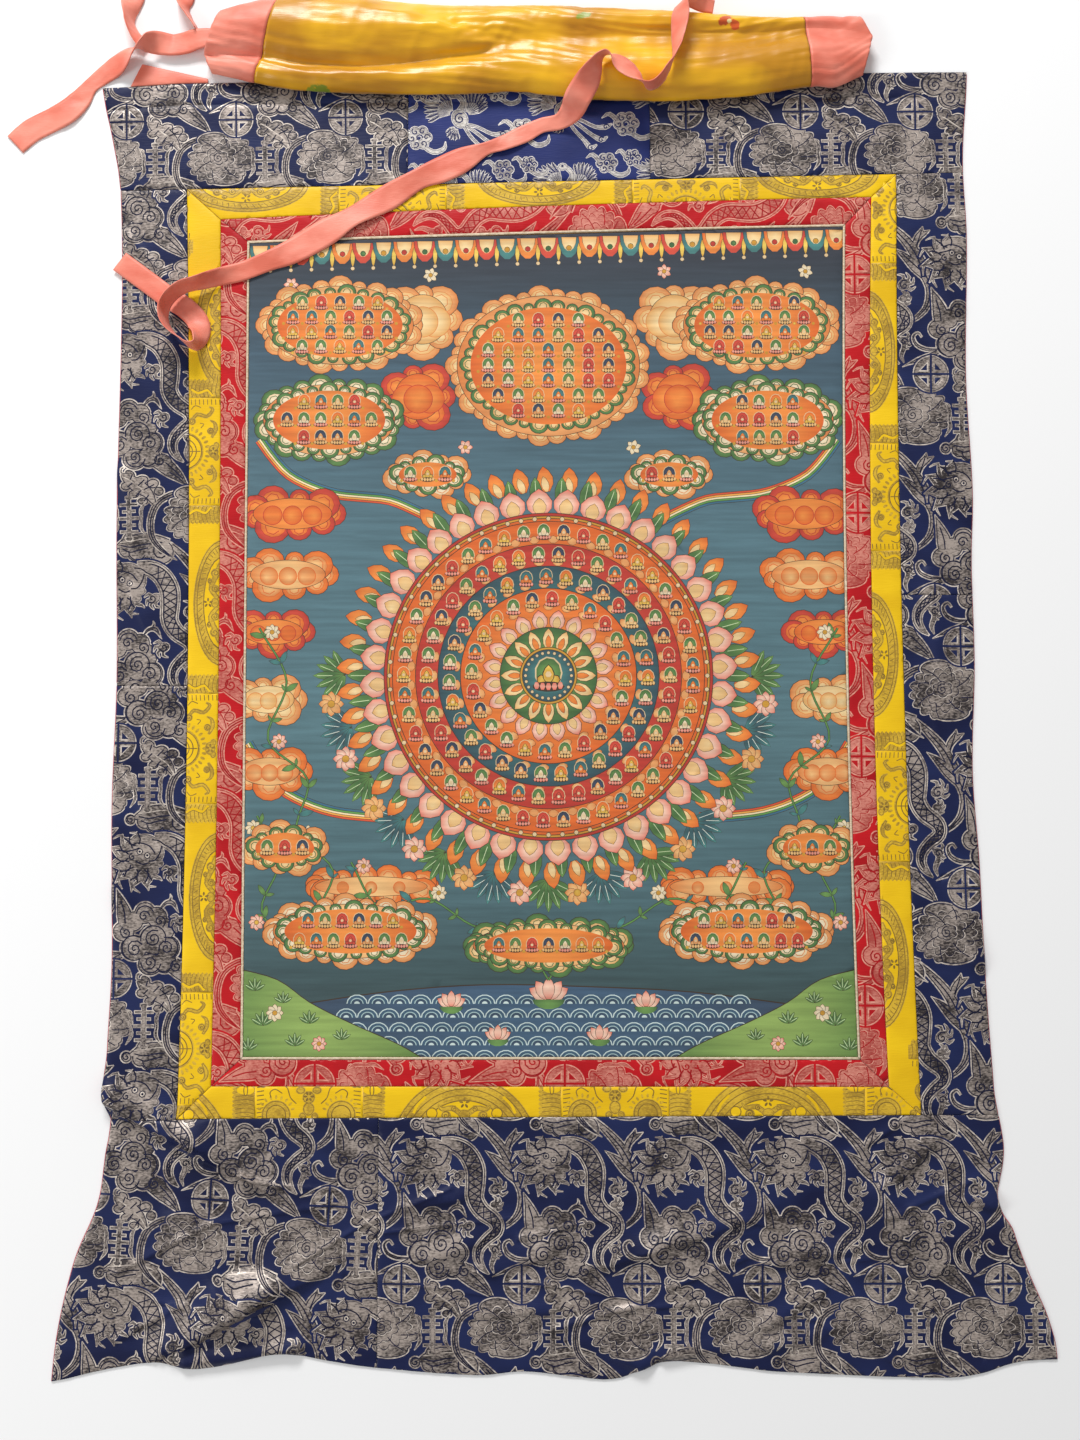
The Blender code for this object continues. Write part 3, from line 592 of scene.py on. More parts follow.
# %% The small leaf, the peony and the fret
PEONY = (76.3, -165)
PEONY_VEINS = (
    # degrees, inner end, outer end
    (20, 0.34, 0.93), (68, 0.5, 0.9), (110, 0.3, 0.92), (150, 0.5, 0.95),
    (196, 0.34, 0.93), (240, 0.5, 0.93), (286, 0.32, 0.93), (332, 0.5, 0.95),
)
FRET = (4.6, -168.5)
FRET_BARS = (
    # height, half length, thickness
    (20.5, 4.2, 4), (14, 10, 3.6), (7.2, 7.4, 3.4), (0.4, 10.6, 3.8), (-6.4, 7.4, 3.4),
    (-13.2, 9.6, 3.6), (-20, 4.2, 4),
)


def small_leaf():
    vein = [(0, -127), (6, -130), (14, -136), (24, -143), (31, -153)]
    parts = bands([(-3, -123, 4), (2, -127, 12), (13, -135, 17), (24, -143, 13), (31, -154, 7)])
    parts += ovals((6, -123, 6.5, 4.6, -30), (18, -129, 7.5, 5.5), (29, -133, 7.5, 6), (35, -141, 6.5, 6),
                   (2, -136, 6.5, 5.5), (10, -144, 6.5, 5.5), (19, -151, 6.5, 5))
    parts += curls((1, -121.5, 5, 0.8, 100, 3.6))
    lines = strokes(0.9, [(14, -135), (20, -129)], [(20, -139), (30, -134)], [(9, -132), (4, -137)],
                    [(17, -140), (12, -146)], [(25, -144), (20, -151)], [(6, -130), (8, -124)])
    return figure(parts, lines, strokes(1.1, vein))


def hooked_stem():
    rows = [(63, -142, 7), (47, -145, 8), (33, -154, 8), (27, -170, 8),
            (28, -186, 8), (35, -197, 7), (46, -206, 4.5), (54, -211, 1)]
    return figure(bands(rows), strokes(0.9, [(x, y) for x, y, _ in rows[:-1]]))


def peony():
    x, y = PEONY
    drawing = figure([lobed(x, y, 38, 29.5, 17, 0.13, 8), oval(x - 8, y + 21, 18, 9),
                      oval(x + 4, y - 21, 21, 9)], halo=1.6)
    for scale, turn, count in ((0.78, 12, 13), (0.54, 40, 9), (0.31, 5, 6)):
        shape = lobed(x - 4 * (1 - scale), y + 2 * (1 - scale), 38 * scale, 29.5 * scale, count, 0.2,
                      turn)
        drawing += [(RIM, shape(0)), (DARK, shape(0.9)), (THREAD, shape(1.8))]
    veins = curls((x - 3, y + 1, 5.5, 1.7, 60, 1))
    for angle, inner, outer in PEONY_VEINS:
        steps = enumerate((inner, 0.5 * (inner + outer), outer))
        veins += strokes(1, [toward(x, y, 37 * share, math.radians(angle + 9 * step), 28.5 * share)
                             for step, share in steps])
    return drawing + laid_on(DARK, *veins)


def fret():
    x, y = FRET
    parts = [line([(x, y - 23), (x, y + 23)], 5.6, 1)]
    for dy, half, thick in FRET_BARS:
        parts.append(line([(x - half, y + dy), (x + half, y + dy)], thick, 1))
    for hand in (-1, 1):
        parts += bands([(x + hand * 17.5, y + 17, 1), (x + hand * 12.8, y + 9, 4.2),
                        (x + hand * 13.2, y, 3.4), (x + hand * 12.4, y - 9, 4.2),
                        (x + hand * 18, y - 18, 1)])
    return figure(parts, rim=0.9, contour=0.35)

# %% [markdown]
# ## The birds of the bright blue piece
#
# The bright blue piece at the head is another brocade: long-tailed birds among
# curling leaves and blossoms. Wings and tail are fans of feathers.

# %% The birds of the bright blue piece
FANS = (
    # x, y, reach, first and last degrees, feathers
    (-6, 4, 33, 100, 186, 9), (8, 2, 30, 10, 78, 8), (-2, -10, 17, 200, 262, 5),
)


def feather_fan(x, y, reach, first, last, count):
    """Feathers that fan out from one place, each with a line down its middle."""
    parts, lines = [], []
    for k in range(count):
        a = math.radians(first + (last - first) * k / (count - 1))
        b = a + 0.14
        tip = reach * (0.86 + 0.14 * math.sin(math.pi * k / (count - 1)))
        rows = [(*toward(x, y, 3, a), 2), (*toward(x, y, 0.55 * tip, a), 4.4),
                (*toward(x, y, 0.85 * tip, b), 4.6), (*toward(x, y, tip, b), 1.6)]
        parts.append(band(rows, 2))
        lines.append(line([(p, q) for p, q, _ in rows[1:]], 0.9, 2))
    return parts, lines


def sprig(x, y, scale):
    """A blossom of six round petals with two curling leaves."""
    parts, lines = [], []
    for turn in range(0, 360, 60):
        at = toward(x, y, 8 * scale, math.radians(turn))
        parts.append(oval(*at, 6.5 * scale))
        lines.append(curl(*at, 3.6 * scale, 1, turn, 0.9))
    parts += bands([(x, y - 6, 5), (x + 14 * scale, y - 17 * scale, 6),
                    (x + 26 * scale, y - 14 * scale, 5), (x + 28 * scale, y - 6 * scale, 1.2)],
                   [(x - 6, y, 5), (x - 17 * scale, y + 12 * scale, 5),
                    (x - 26 * scale, y + 8 * scale, 1.2)])
    return figure(parts, [*lines, curl(x, y, 3.5, 1.2, 0, 1)], rim=0.9, contour=0.45)


def bird_repeat():
    parts, lines = [], []
    for fan in FANS:
        more, marks = feather_fan(*fan)
        parts += more
        lines += marks
    parts += [oval(1, -2, 9, 11, 20), band([(2, 6, 9), (6, 15, 6), (2, 22, 6), (-3, 25, 5)]),
              oval(-4, 25, 5.5, 4.5), band([(-8, 25, 3), (-14, 23, 1)])]
    for k, (dx, dy) in enumerate(((46, -22), (40, -36), (28, -44))):
        parts += bands([(4, -8, 4), (0.4 * dx, -12 - 5 * k, 4), (0.75 * dx, 0.6 * dy - 8, 4.4),
                        (dx, dy, 6), (dx + 7, dy + 3, 2)])
        lines += curls((dx, dy, 3.2, 1.1, 40 * k, 0.9))
    lines += [curl(1, -2, 6, 1.5, 60, 1), oval(-4, 26, 1.2)]
    drawing = figure(parts, lines, rim=0.9, contour=0.45)
    for place in ((-44, -20, 1), (44, 26, 0.85), (-40, 30, 0.7)):
        drawing += sprig(*place)
    return drawing

# %% [markdown]
# ## The figures of the yellow brocade
#
# The yellow brocade has larger and denser figures: half medallions, and blocks
# with a fretted half roundel between them. The foot strip was cut elsewhere in
# the repeat, so it shows a dome and two lobes instead. Each figure stands on
# y = 0, the seam that cuts it, and all but its middle is mirrored.

# %% The figures of the yellow brocade
def petal_ring(x, y, radius, first, last, count, size, yarn):
    """Small ovals round an arc, each pointing outwards."""
    out = []
    for k in range(count):
        turn = first + (last - first) * k / max(count - 1, 1)
        at = toward(x, y, radius, math.radians(turn))
        out += laid_on(yarn, oval(*at, size, 0.55 * size, turn, 8))
    return out


def scrollwork(*places):
    """Spirals, each given by its x, y, radius, first angle and hand."""
    return laid_on(DARK, *(curl(x, y, r, 1.4, start, 0.8, hand) for x, y, r, start, hand in places))


def mirrored(drawing):
    """The drawing and its reflection."""
    return drawing + [(yarn, outline[::-1] * (-1, 1)) for yarn, outline in drawing]


def yellow_cap():
    """The half medallion: a dense border round scrolls."""
    drawing = figure([half_oval(0, -3, 64, 29)], rim=0.8, contour=0.7)
    drawing += laid_on(DARK, half_oval(0, -3, 59, 25.5)) + laid_on(THREAD, half_oval(0, -3, 58, 24.6))
    for k in range(25):
        a = math.radians(8 + 6.8 * k)
        drawing += laid_on(DARK, line([toward(0, -3, 52, a, 20), toward(0, -3, 57, a + 0.05, 24)], 0.7, 1))
    drawing += laid_on(DARK, half_oval(0, -3, 47, 19)) + laid_on(GROUND, half_oval(0, -3, 45.6, 18))
    half = figure([band([(4, 1, 5), (14, 8, 6), (24, 5, 6), (33, 1, 7), (41, 0, 3)]),
                   *ovals((14, 4, 4.5), (30, 4, 5), (22, 9.5, 3.6, 2.4))], (), (), 0.7, 0.5)
    half += scrollwork((14, 4, 3.2, 40, 1), (30, 4, 3.6, 120, -1), (22, 9.5, 2.2, 0, 1))
    drawing += mirrored(half)
    drawing += figure(ovals((0, 4, 5.5, 4.5)), (), (), 0.7, 0.5)
    return drawing + petal_ring(0, 11, 3.2, 0, 288, 5, 2, DARK)


def yellow_block():
    """The block between the medallions: dense ends, a fretted half roundel and curls."""
    half = []
    for row in range(9):
        y = 2 + 4.1 * row
        half += laid_on(THREAD, oval(66, y, 8.6, 3, 0, 10))
        half += laid_on(DARK, line([(58, y + 1.9), (66, y + 2.3), (73, y + 1.4)], 0.7, 2))
    half += laid_on(THREAD, slab(55, -3, 69, 38))
    for row in range(9):
        y = 4.1 * row
        half += laid_on(DARK, line([(56, y), (61, y + 1.6), (70, y + 0.6)], 0.7, 2),
                        line([(48, y + 1), (53.5, y + 1.4)], 0.9, 1))
    half += laid_on(GROUND, *strokes(2.4, [(57, 8), (63, 14), (60, 23), (64, 30)]))
    half += laid_on(DARK, *strokes(0.7, [(58.6, 8), (64.6, 14), (61.6, 23), (65.6, 30)]))
    half += figure([band([(30, 30, 3), (38, 24, 4.5), (36, 14, 4.5), (43, 8, 4), (46, 12, 2)]),
                    oval(31, 29, 4.2)], (), (), 0.7, 0.5)
    half += figure([band([(14, 9, 3), (22, 5, 5), (29, 6, 4), (32, 11, 1.4)]), oval(21, 10, 4)],
                   (), (), 0.7, 0.5)
    half += scrollwork((31, 29, 3, 200, 1), (21, 10, 2.6, 30, -1))
    half += laid_on(DARK, *strokes(0.9, [(43, 30), (47, 26), (45, 20)], [(24, 20), (28, 17), (29, 21)]))
    drawing = mirrored(half) + petal_ring(0, 37, 24.5, 200, 340, 13, 2.6, THREAD)
    for yarn, size in ((THREAD, 20), (DARK, 18.6), (GROUND, 17.6), (DARK, 13.5), (GROUND, 12.4),
                       (DARK, 9.5), (GROUND, 8.4), (DARK, 5.5), (THREAD, 4.4)):
        drawing += laid_on(yarn, oval(0, 37, size))
    drawing += laid_on(DARK, line([(0, 37), (0, 20)], 1, 1), line([(-14, 31), (14, 31)], 1, 1))
    drawing += figure(ovals((0, 7, 7, 5.5), (-6, 4, 4, 3.4), (6, 4, 4, 3.4)), (), (), 0.7, 0.5)
    return drawing + petal_ring(0, 7, 3, 0, 288, 5, 2, DARK)

# %% [markdown]
# ## The dome and the lobes
#
# Both are as dense as the figures before them, so only their largest plain spots
# and rings are drawn, and loops fill in the rest.

# %% The dome and the lobes
def yellow_dome():
    """The large medallion as the foot strip cuts it: a broad dense arch with two plain spots."""
    drawing = figure(ovals((0, -32, 72)), (), (), 0.8, 0.7)
    for yarn, size in ((DARK, 66), (THREAD, 65.1), (DARK, 60), (THREAD, 59.1), (DARK, 54), (THREAD, 53.1),
                       (DARK, 49), (GROUND, 47.8)):
        drawing += laid_on(yarn, oval(0, -32, size))
    half = laid_on(GROUND, *strokes(2.6, [(50, 4), (46, 12), (38, 20)]))
    half += laid_on(DARK, oval(32, 4, 5.8)) + laid_on(GROUND, oval(32, 4, 4.8))
    half += figure([band([(4, 4, 6), (12, 9, 6), (22, 8, 5), (26, 13, 2)]), oval(18, 2, 5)],
                   (), (), 0.7, 0.5)
    half += scrollwork((18, 2, 3.4, 50, 1), (10, 8, 3, 120, -1))
    drawing += mirrored(half)
    drawing += figure(ovals((0, 3, 6.5, 5)), (), (), 0.7, 0.5)
    return drawing + petal_ring(0, 14, 3.4, 18, 306, 5, 2.2, DARK)


def yellow_lobes():
    """The block as the foot strip cuts it: two round lobes between dense ends."""
    half = laid_on(THREAD, *(oval(70, 4.1 * row, 5.4, 2.6, 0, 10) for row in range(9)))
    half += laid_on(THREAD, slab(53, -3, 70, 38))
    for row in range(9):
        y = 4.1 * row
        half += laid_on(DARK, line([(54, y), (61, y + 1.8), (72, y + 0.4)], 0.7, 2),
                        line([(44, y + 2), (51, y + 1)], 1, 1))
    half += laid_on(GROUND, lobed(62, 27, 5, 9, 2, 0.2, 90)) + laid_on(DARK, oval(62, 27, 2.4, 6))
    half += laid_on(GROUND, oval(62, 27, 1.4, 4.8))
    half += figure(ovals((32, 3, 14.5)), (), (), 0.8, 0.7)
    half += laid_on(DARK, oval(32, 3, 10)) + laid_on(THREAD, oval(32, 3, 9))
    half += petal_ring(32, 3, 17.5, 20, 160, 9, 2.2, THREAD)
    half += laid_on(DARK, *strokes(1.1, [(12, 14), (18, 20), (21, 29), (27, 33)],
                                   [(26, 24), (33, 28), (38, 25), (37, 20)], [(40, 34), (44, 30), (50, 31)]))
    drawing = mirrored(half)
    drawing += figure(ovals((0, 20, 6.5), (-8, 27, 5, 4), (8, 27, 5, 4), (0, 9, 6, 7), (-6, 2, 4),
                            (6, 2, 4)), (), (), 0.8, 0.6)
    return drawing + petal_ring(0, 21, 3.4, 0, 300, 6, 2, DARK)

# %% [markdown]
# ## Repeats over a cloth
#
# A loom repeats its drawing, so each panel takes the same drawing at every place
# of a grid, turned and scaled as that piece of cloth lies. Shapes that fall
# wholly outside the panel's box are dropped at once.

# %% Repeats over a cloth
REPEAT = (119.5, 232)
CELLS = range(-12, 13)


def placed(drawing, at, turn=0, scale=(1, 1)):
    """The drawing scaled, turned and moved."""
    c, s = math.cos(math.radians(turn)), math.sin(math.radians(turn))
    matrix = np.array(((c, s), (-s, c)))
    return [(yarn, (outline * scale) @ matrix + at) for yarn, outline in drawing]


def within(shapes, box):
    """The shapes that reach into the box."""
    (x0, y0), (x1, y1) = box
    return [(yarn, shape) for yarn, shape in shapes
            if shape[:, 0].max() > x0 and shape[:, 0].min() < x1
            and shape[:, 1].max() > y0 and shape[:, 1].min() < y1]


def laid(drawing, box, at, scale=(1, 1), turn=0, repeat=REPEAT):
    """The drawing repeated over a box, with one of its repeats at this place."""
    shapes = []
    reach = 1.3 * max(repeat)
    (x0, y0), (x1, y1) = box
    for column in CELLS:
        for row in CELLS:
            cell = placed([(0, np.array([(column * repeat[0], row * repeat[1])]))], at, turn, scale)
            x, y = cell[0][1][0]
            if x0 - reach < x < x1 + reach and y0 - reach < y < y1 + reach:
                shapes += within(placed(drawing, (x, y), turn, scale), box)
    return shapes


brocade = []
for make in (hooked_stem, dragon_stem, volute_leaf, cloud, roundel, small_leaf, peony, fret, dragon):
    brocade += make()
print("brocade repeat:", len(brocade), "shapes,", sum(len(p) for _, p in brocade), "points")

# %% [markdown]
# ## The outline of a cloth
#
# A cloth starts as its solid's outline, read from the frame: the border of the
# faces that look down. Its corners stay sharp, and between them a smooth curve
# takes the place of the solid's longer straight edges.

# %% The outline of a cloth
def resampled(side, spacing):
    """A smooth curve through the points of one side, with a point about every so many millimetres."""
    run = np.diff(side, axis=0)
    reach = np.hypot(run[:, 0], run[:, 1])
    slope = run / reach[:, None]
    tangent = np.vstack((slope[:1], slope))
    before, after = reach[:-1, None], reach[1:, None]
    tangent[1:-1] = (slope[:-1] * after + slope[1:] * before) / (before + after)
    out = []
    for k, length in enumerate(reach):
        t = np.arange(max(1, round(length / spacing)))[:, None] / max(1, round(length / spacing))
        out.append((2 * t**3 - 3 * t**2 + 1) * side[k] + (t**3 - 2 * t**2 + t) * length * tangent[k]
                   + (3 * t**2 - 2 * t**3) * side[k + 1] + (t**3 - t**2) * length * tangent[k + 1])
    return np.vstack(out)


def outline_of(node, spacing=6):
    """The outline of a cloth's solid seen from above, in millimetres, corners kept."""
    bm = bmesh.new()
    bm.from_mesh(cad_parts[node].data)
    bmesh.ops.remove_doubles(bm, verts=bm.verts, dist=1e-6)
    bm.normal_update()
    under = {f for f in bm.faces if f.normal.z < -0.4}
    beside = {}
    for edge in bm.edges:
        if sum(f in under for f in edge.link_faces) == 1:
            a, b = edge.verts
            beside.setdefault(a, []).append(b)
            beside.setdefault(b, []).append(a)
    start = here = next(iter(beside))
    before, loop = None, []
    while True:
        loop.append((here.co.x / MM + MIDDLE[0], here.co.y / MM + MIDDLE[1]))
        after = next(v for v in beside[here] if v is not before)
        before, here = here, after
        if here is start:
            break
    bm.free()
    loop = np.array(loop)
    x, y = loop[:, 0], loop[:, 1]
    if np.sum(x * np.roll(y, -1) - np.roll(x, -1) * y) < 0:
        loop = loop[::-1]
    ahead = np.roll(loop, -1, axis=0) - loop
    behind = loop - np.roll(loop, 1, axis=0)
    bend = np.degrees(np.abs(np.arctan2(
        behind[:, 0] * ahead[:, 1] - behind[:, 1] * ahead[:, 0], (behind * ahead).sum(axis=1))))
    corners = np.flatnonzero(bend > 30)
    loop = np.roll(loop, -corners[0], axis=0)
    corners = [*(corners - corners[0]), len(loop)]
    out = []
    for first, last in zip(corners, corners[1:]):
        side = np.vstack((loop[first:last], loop[last % len(loop)]))
        out.append(resampled(side, spacing))
    return np.vstack(out)

# %% [markdown]
# ## Points inside an outline
#
# The folds need a grid of points, shifted row by row so that the triangles come
# out even. The winding number tells what lies inside, also for the strokes that
# cross themselves.

# %% Points inside an outline
def edge_distance(points, outline):
    """How far each point is from the nearest place on the outline."""
    a, b = outline, np.roll(outline, -1, axis=0)
    nearest = np.full(len(points), 1e9)
    for p, q in zip(a, b):
        run = q - p
        share = np.clip(((points - p) @ run) / max(run @ run, 1e-12), 0, 1)
        gap = points - p - share[:, None] * run
        nearest = np.minimum(nearest, np.hypot(gap[:, 0], gap[:, 1]))
    return nearest


def grid_points(outline, spacing):
    """Points in rows over the outline's box, each row shifted by half a step."""
    (x0, y0), (x1, y1) = outline.min(axis=0), outline.max(axis=0)
    points = []
    for row, y in enumerate(np.arange(y0 + 0.5 * spacing, y1, spacing * 0.87)):
        for x in np.arange(x0 + (0.25 + 0.5 * (row % 2)) * spacing, x1, spacing):
            points.append((x, y))
    return np.array(points).reshape(-1, 2)


def beside_fold(x0, y0, h0, x1, y1, h1, left, right):
    """Points in rows along a fold, on its crest and over its two slopes."""
    length = math.hypot(x1 - x0, y1 - y0)
    steps = np.linspace(0, 1, max(3, round(length / 3.5)))[:, None]
    ridge = np.array([(x0, y0)]) + steps * (x1 - x0, y1 - y0)
    side = np.array(((y0 - y1) / length, (x1 - x0) / length))
    return np.vstack([ridge + share * side for share in (0.7 * left, 0.35 * left, 0, -0.35 * right,
                                                         -0.7 * right)])


def winding(points, loop):
    """How many times a closed loop runs round each point."""
    turns = np.zeros(len(points), int)
    ax, ay = loop.T
    bx, by = np.roll(loop, -1, axis=0).T
    for first in range(0, len(points), 4000):
        x, y = points[first:first + 4000, :1], points[first:first + 4000, 1:]
        side = (bx - ax) * (y - ay) - (x - ax) * (by - ay)
        up = (ay <= y) & (by > y) & (side > 0)
        down = (ay > y) & (by <= y) & (side < 0)
        turns[first:first + 4000] = up.sum(axis=1) - down.sum(axis=1)
    return turns

# %% [markdown]
# ## Cutting the drawing into the cloth
#
# One constrained triangulation cuts the cloth along every line of its drawing
# and tells which shapes lie over each triangle: the last one painted gives its
# yarn. Most of those lines are hidden under others, so a second triangulation
# keeps only the edges where two colours meet, without their needless points.

# %% Cutting the drawing into the cloth
def triangulated(outline, points, edges):
    """Triangles inside the outline, cut along its own and the given edges."""
    count = len(outline)
    rim = [(k, (k + 1) % count) for k in range(count)]
    edges = rim + [(a + count, b + count) for a, b in edges]
    points = [Vector(p) for p in np.vstack([outline, points]).tolist()]
    found, _, triangles, *_ = delaunay_2d_cdt(points, edges, [], 0, 1e-4, False)
    found = np.array([v[:] for v in found])
    triangles = np.array(triangles)
    centres = found[triangles].mean(axis=1)
    keep = winding(centres, outline) != 0
    return found, triangles[keep], centres[keep]


def topmost(centres, shapes):
    """The last shape drawn over each place, or -1 where the ground is bare."""
    order = np.argsort(centres[:, 0])
    in_order = centres[order, 0]
    over = np.full(len(centres), -1)
    for k, (_, shape) in enumerate(shapes):
        (x0, y0), (x1, y1) = shape.min(axis=0), shape.max(axis=0)
        near = order[np.searchsorted(in_order, x0):np.searchsorted(in_order, x1)]
        near = near[(centres[near, 1] > y0) & (centres[near, 1] < y1)]
        over[near[winding(centres[near], shape) != 0]] = k
    return over


def visible_edges(triangles, keys):
    """Edges with different keys on their two sides."""
    sides = np.sort(np.vstack([triangles[:, [0, 1]], triangles[:, [1, 2]], triangles[:, [2, 0]]]))
    owner = np.tile(np.arange(len(triangles)), 3)
    order = np.lexsort(sides.T)
    sides, owner = sides[order], owner[order]
    twin = np.flatnonzero((sides[1:] == sides[:-1]).all(axis=1))
    return sides[twin][keys[owner[twin]] != keys[owner[twin + 1]]]


LONGEST_EDGE = 14


def straightened(points, edges, tolerance):
    """The edges without the points at which they hardly bend."""
    points = points.tolist()
    beside = {}
    for a, b in edges.tolist():
        beside.setdefault(a, set()).add(b)
        beside.setdefault(b, set()).add(a)
    for _ in range(2):
        kept = set()
        for k in list(beside):
            if len(beside[k]) != 2 or k in kept:
                continue
            a, b = beside[k]
            (ax, ay), (bx, by), (x, y) = points[a], points[b], points[k]
            length = math.hypot(bx - ax, by - ay)
            if b in beside[a] or length > LONGEST_EDGE:
                continue
            if abs((bx - ax) * (y - ay) - (by - ay) * (x - ax)) < tolerance * length:
                beside[a].remove(k)
                beside[b].remove(k)
                beside[a].add(b)
                beside[b].add(a)
                del beside[k]
                kept |= {a, b}
    return [(a, b) for a in beside for b in beside[a] if a < b]


def cut(outline, shapes, loose, keys=None, tolerance=0.05):
    """Triangles of the outline cut where the drawing's colours meet, and the shape over each.

    A first triangulation along every line finds which lines show, and the
    second one is cut along those alone.
    """
    if not shapes:
        found, triangles, _ = triangulated(outline, loose, [])
        return found, triangles, np.full(len(triangles), -1)
    edges, first = [], 0
    for _, shape in shapes:
        edges += [(first + k, first + (k + 1) % len(shape)) for k in range(len(shape))]
        first += len(shape)
    points = np.vstack([shape for _, shape in shapes])
    found, triangles, centres = triangulated(outline, points, edges)
    over = topmost(centres, shapes)
    keys = np.array([*keys, GROUND])
    shown = straightened(found, visible_edges(triangles, keys[over]), tolerance)
    used, shown = np.unique(np.array(shown), return_inverse=True)
    shown = shown.reshape(-1, 2)
    found, triangles, centres = triangulated(
        outline, np.vstack([found[used], loose]), shown.tolist())
    return found, triangles, topmost(centres, shapes)

# %% [markdown]
# ## Closing the sheet
#
# The cut face gets a coarser underside and a rim of side faces between the two.
# The flat layout becomes the bake map: the face large, the underside small
# beside it, the rim in a strip.

# %% Closing the sheet
def border_loop(triangles):
    """The triangles' longest outer edge as a ring of point numbers."""
    sides = {(a, b) for t in triangles for a, b in zip(t, (*t[1:], t[0]))}
    after = {}
    for a, b in sides:
        if (b, a) not in sides:
            after.setdefault(a, []).append(b)
    longest = []
    while after:
        here = next(iter(after))
        ring = []
        while here in after:
            ring.append(here)
            step = after[here].pop()
            if not after[here]:
                del after[here]
            here = step
        longest = max(longest, ring, key=len)
    return longest


def nearest(points, places):
    """The number of the point nearest to each place."""
    tree = kdtree.KDTree(len(points))
    for k, (x, y) in enumerate(points.tolist()):
        tree.insert((x, y, 0), k)
    tree.balance()
    return [tree.find((x, y, 0))[1] for x, y in places.tolist()]


def close_gaps(mesh):
    """Fills the hairline gaps where a thin triangle fell outside the outline."""
    bm = bmesh.new()
    bm.from_mesh(mesh)
    bmesh.ops.holes_fill(bm, edges=[edge for edge in bm.edges if len(edge.link_faces) == 1])
    bm.to_mesh(mesh)
    bm.free()


def bake_map(mesh, flat, under_points, tops, unders, outline):
    """The flat layout as the bake map: face large, underside small beside it, edge in a strip."""
    (x0, y0), (x1, y1) = outline.min(axis=0), outline.max(axis=0)
    wide, tall = x1 - x0, y1 - y0
    layer = mesh.uv_layers.new(name="OFBake")
    long_side = max(wide, tall)
    upright = tall >= wide
    uv = np.zeros((len(mesh.loops), 2))
    owner = np.zeros(len(mesh.loops), int)
    mesh.loops.foreach_get("vertex_index", owner)
    start = np.zeros(len(mesh.polygons), int)
    mesh.polygons.foreach_get("loop_start", start)
    first_under, first_edge = start[tops], start[tops + unders]
    across, up = (0.80 / wide, 0.98 / tall) if upright else (0.98 / wide, 0.80 / tall)
    scale = min(across, up)
    uv[:first_under] = (flat[owner[:first_under]] - (x0, y0)) * scale + 0.005
    small = 0.16 / (wide if upright else tall)
    small = min(small, 0.9 / long_side)
    places = (under_points[owner[first_under:first_edge] - len(flat)] - (x0, y0)) * small
    uv[first_under:first_edge] = places + ((0.82, 0.005) if upright else (0.005, 0.82))
    edges = len(mesh.polygons) - tops - unders
    for k in range(edges):
        a, b = 0.005 + 0.98 * k / edges, 0.005 + 0.98 * (k + 1) / edges
        corners = ((a, 0.993), (a, 0.998), (b, 0.998), (b, 0.993))
        uv[first_edge + 4 * k:first_edge + 4 * k + 4] = corners
    layer.data.foreach_set("uv", uv.ravel())

# %% [markdown]
# ## A cloth from its drawing
#
# `cloth` brings it together. The top is lifted onto the folds and dips at the
# seams. The underside follows the folds less, as lining does, and at the two
# outer sides of the mount it stands out a little, so that its red edge shows.

# %% A cloth from its drawing
CLEAR_OF_RIM = 1.5
RIM_ROWS = (0.9, 2.2)
UNDER_COARSER = 1.3
UNDER_FOLLOWS = 0.6
ABOVE_FLOOR = 0.02
HEM_FROM = 350
HEM_FACES = 0.7


def tangents(ring):
    """The direction of a closed ring of points at each of them."""
    return unit(np.roll(ring, -1, axis=0) - np.roll(ring, 1, axis=0))


def loose_points(outline, spacing, folds):
    """A grid inside the outline, rows beside its folds and two rows just inside its rim."""
    loose = np.vstack([grid_points(outline, spacing), *(beside_fold(*fold) for fold in folds)])
    loose = loose[winding(loose, outline) != 0]
    loose = loose[edge_distance(loose, outline) > CLEAR_OF_RIM]
    inward = sideways(tangents(outline))
    return np.vstack([loose, *(outline + depth * inward for depth in RIM_ROWS)])


def sheet_object(name, node, verts, faces, materials):
    """The sheet as an object that stands for its solid."""
    mesh = bpy.data.meshes.new(name)
    mesh.from_pydata(verts, [], faces)
    for material in materials:
        mesh.materials.append(material)
    mesh.polygons.foreach_set("use_smooth", [True] * len(faces))
    thing = bpy.data.objects.new(name, mesh)
    bpy.context.scene.collection.objects.link(thing)
    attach(thing, "root")
    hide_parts(node)
    return thing


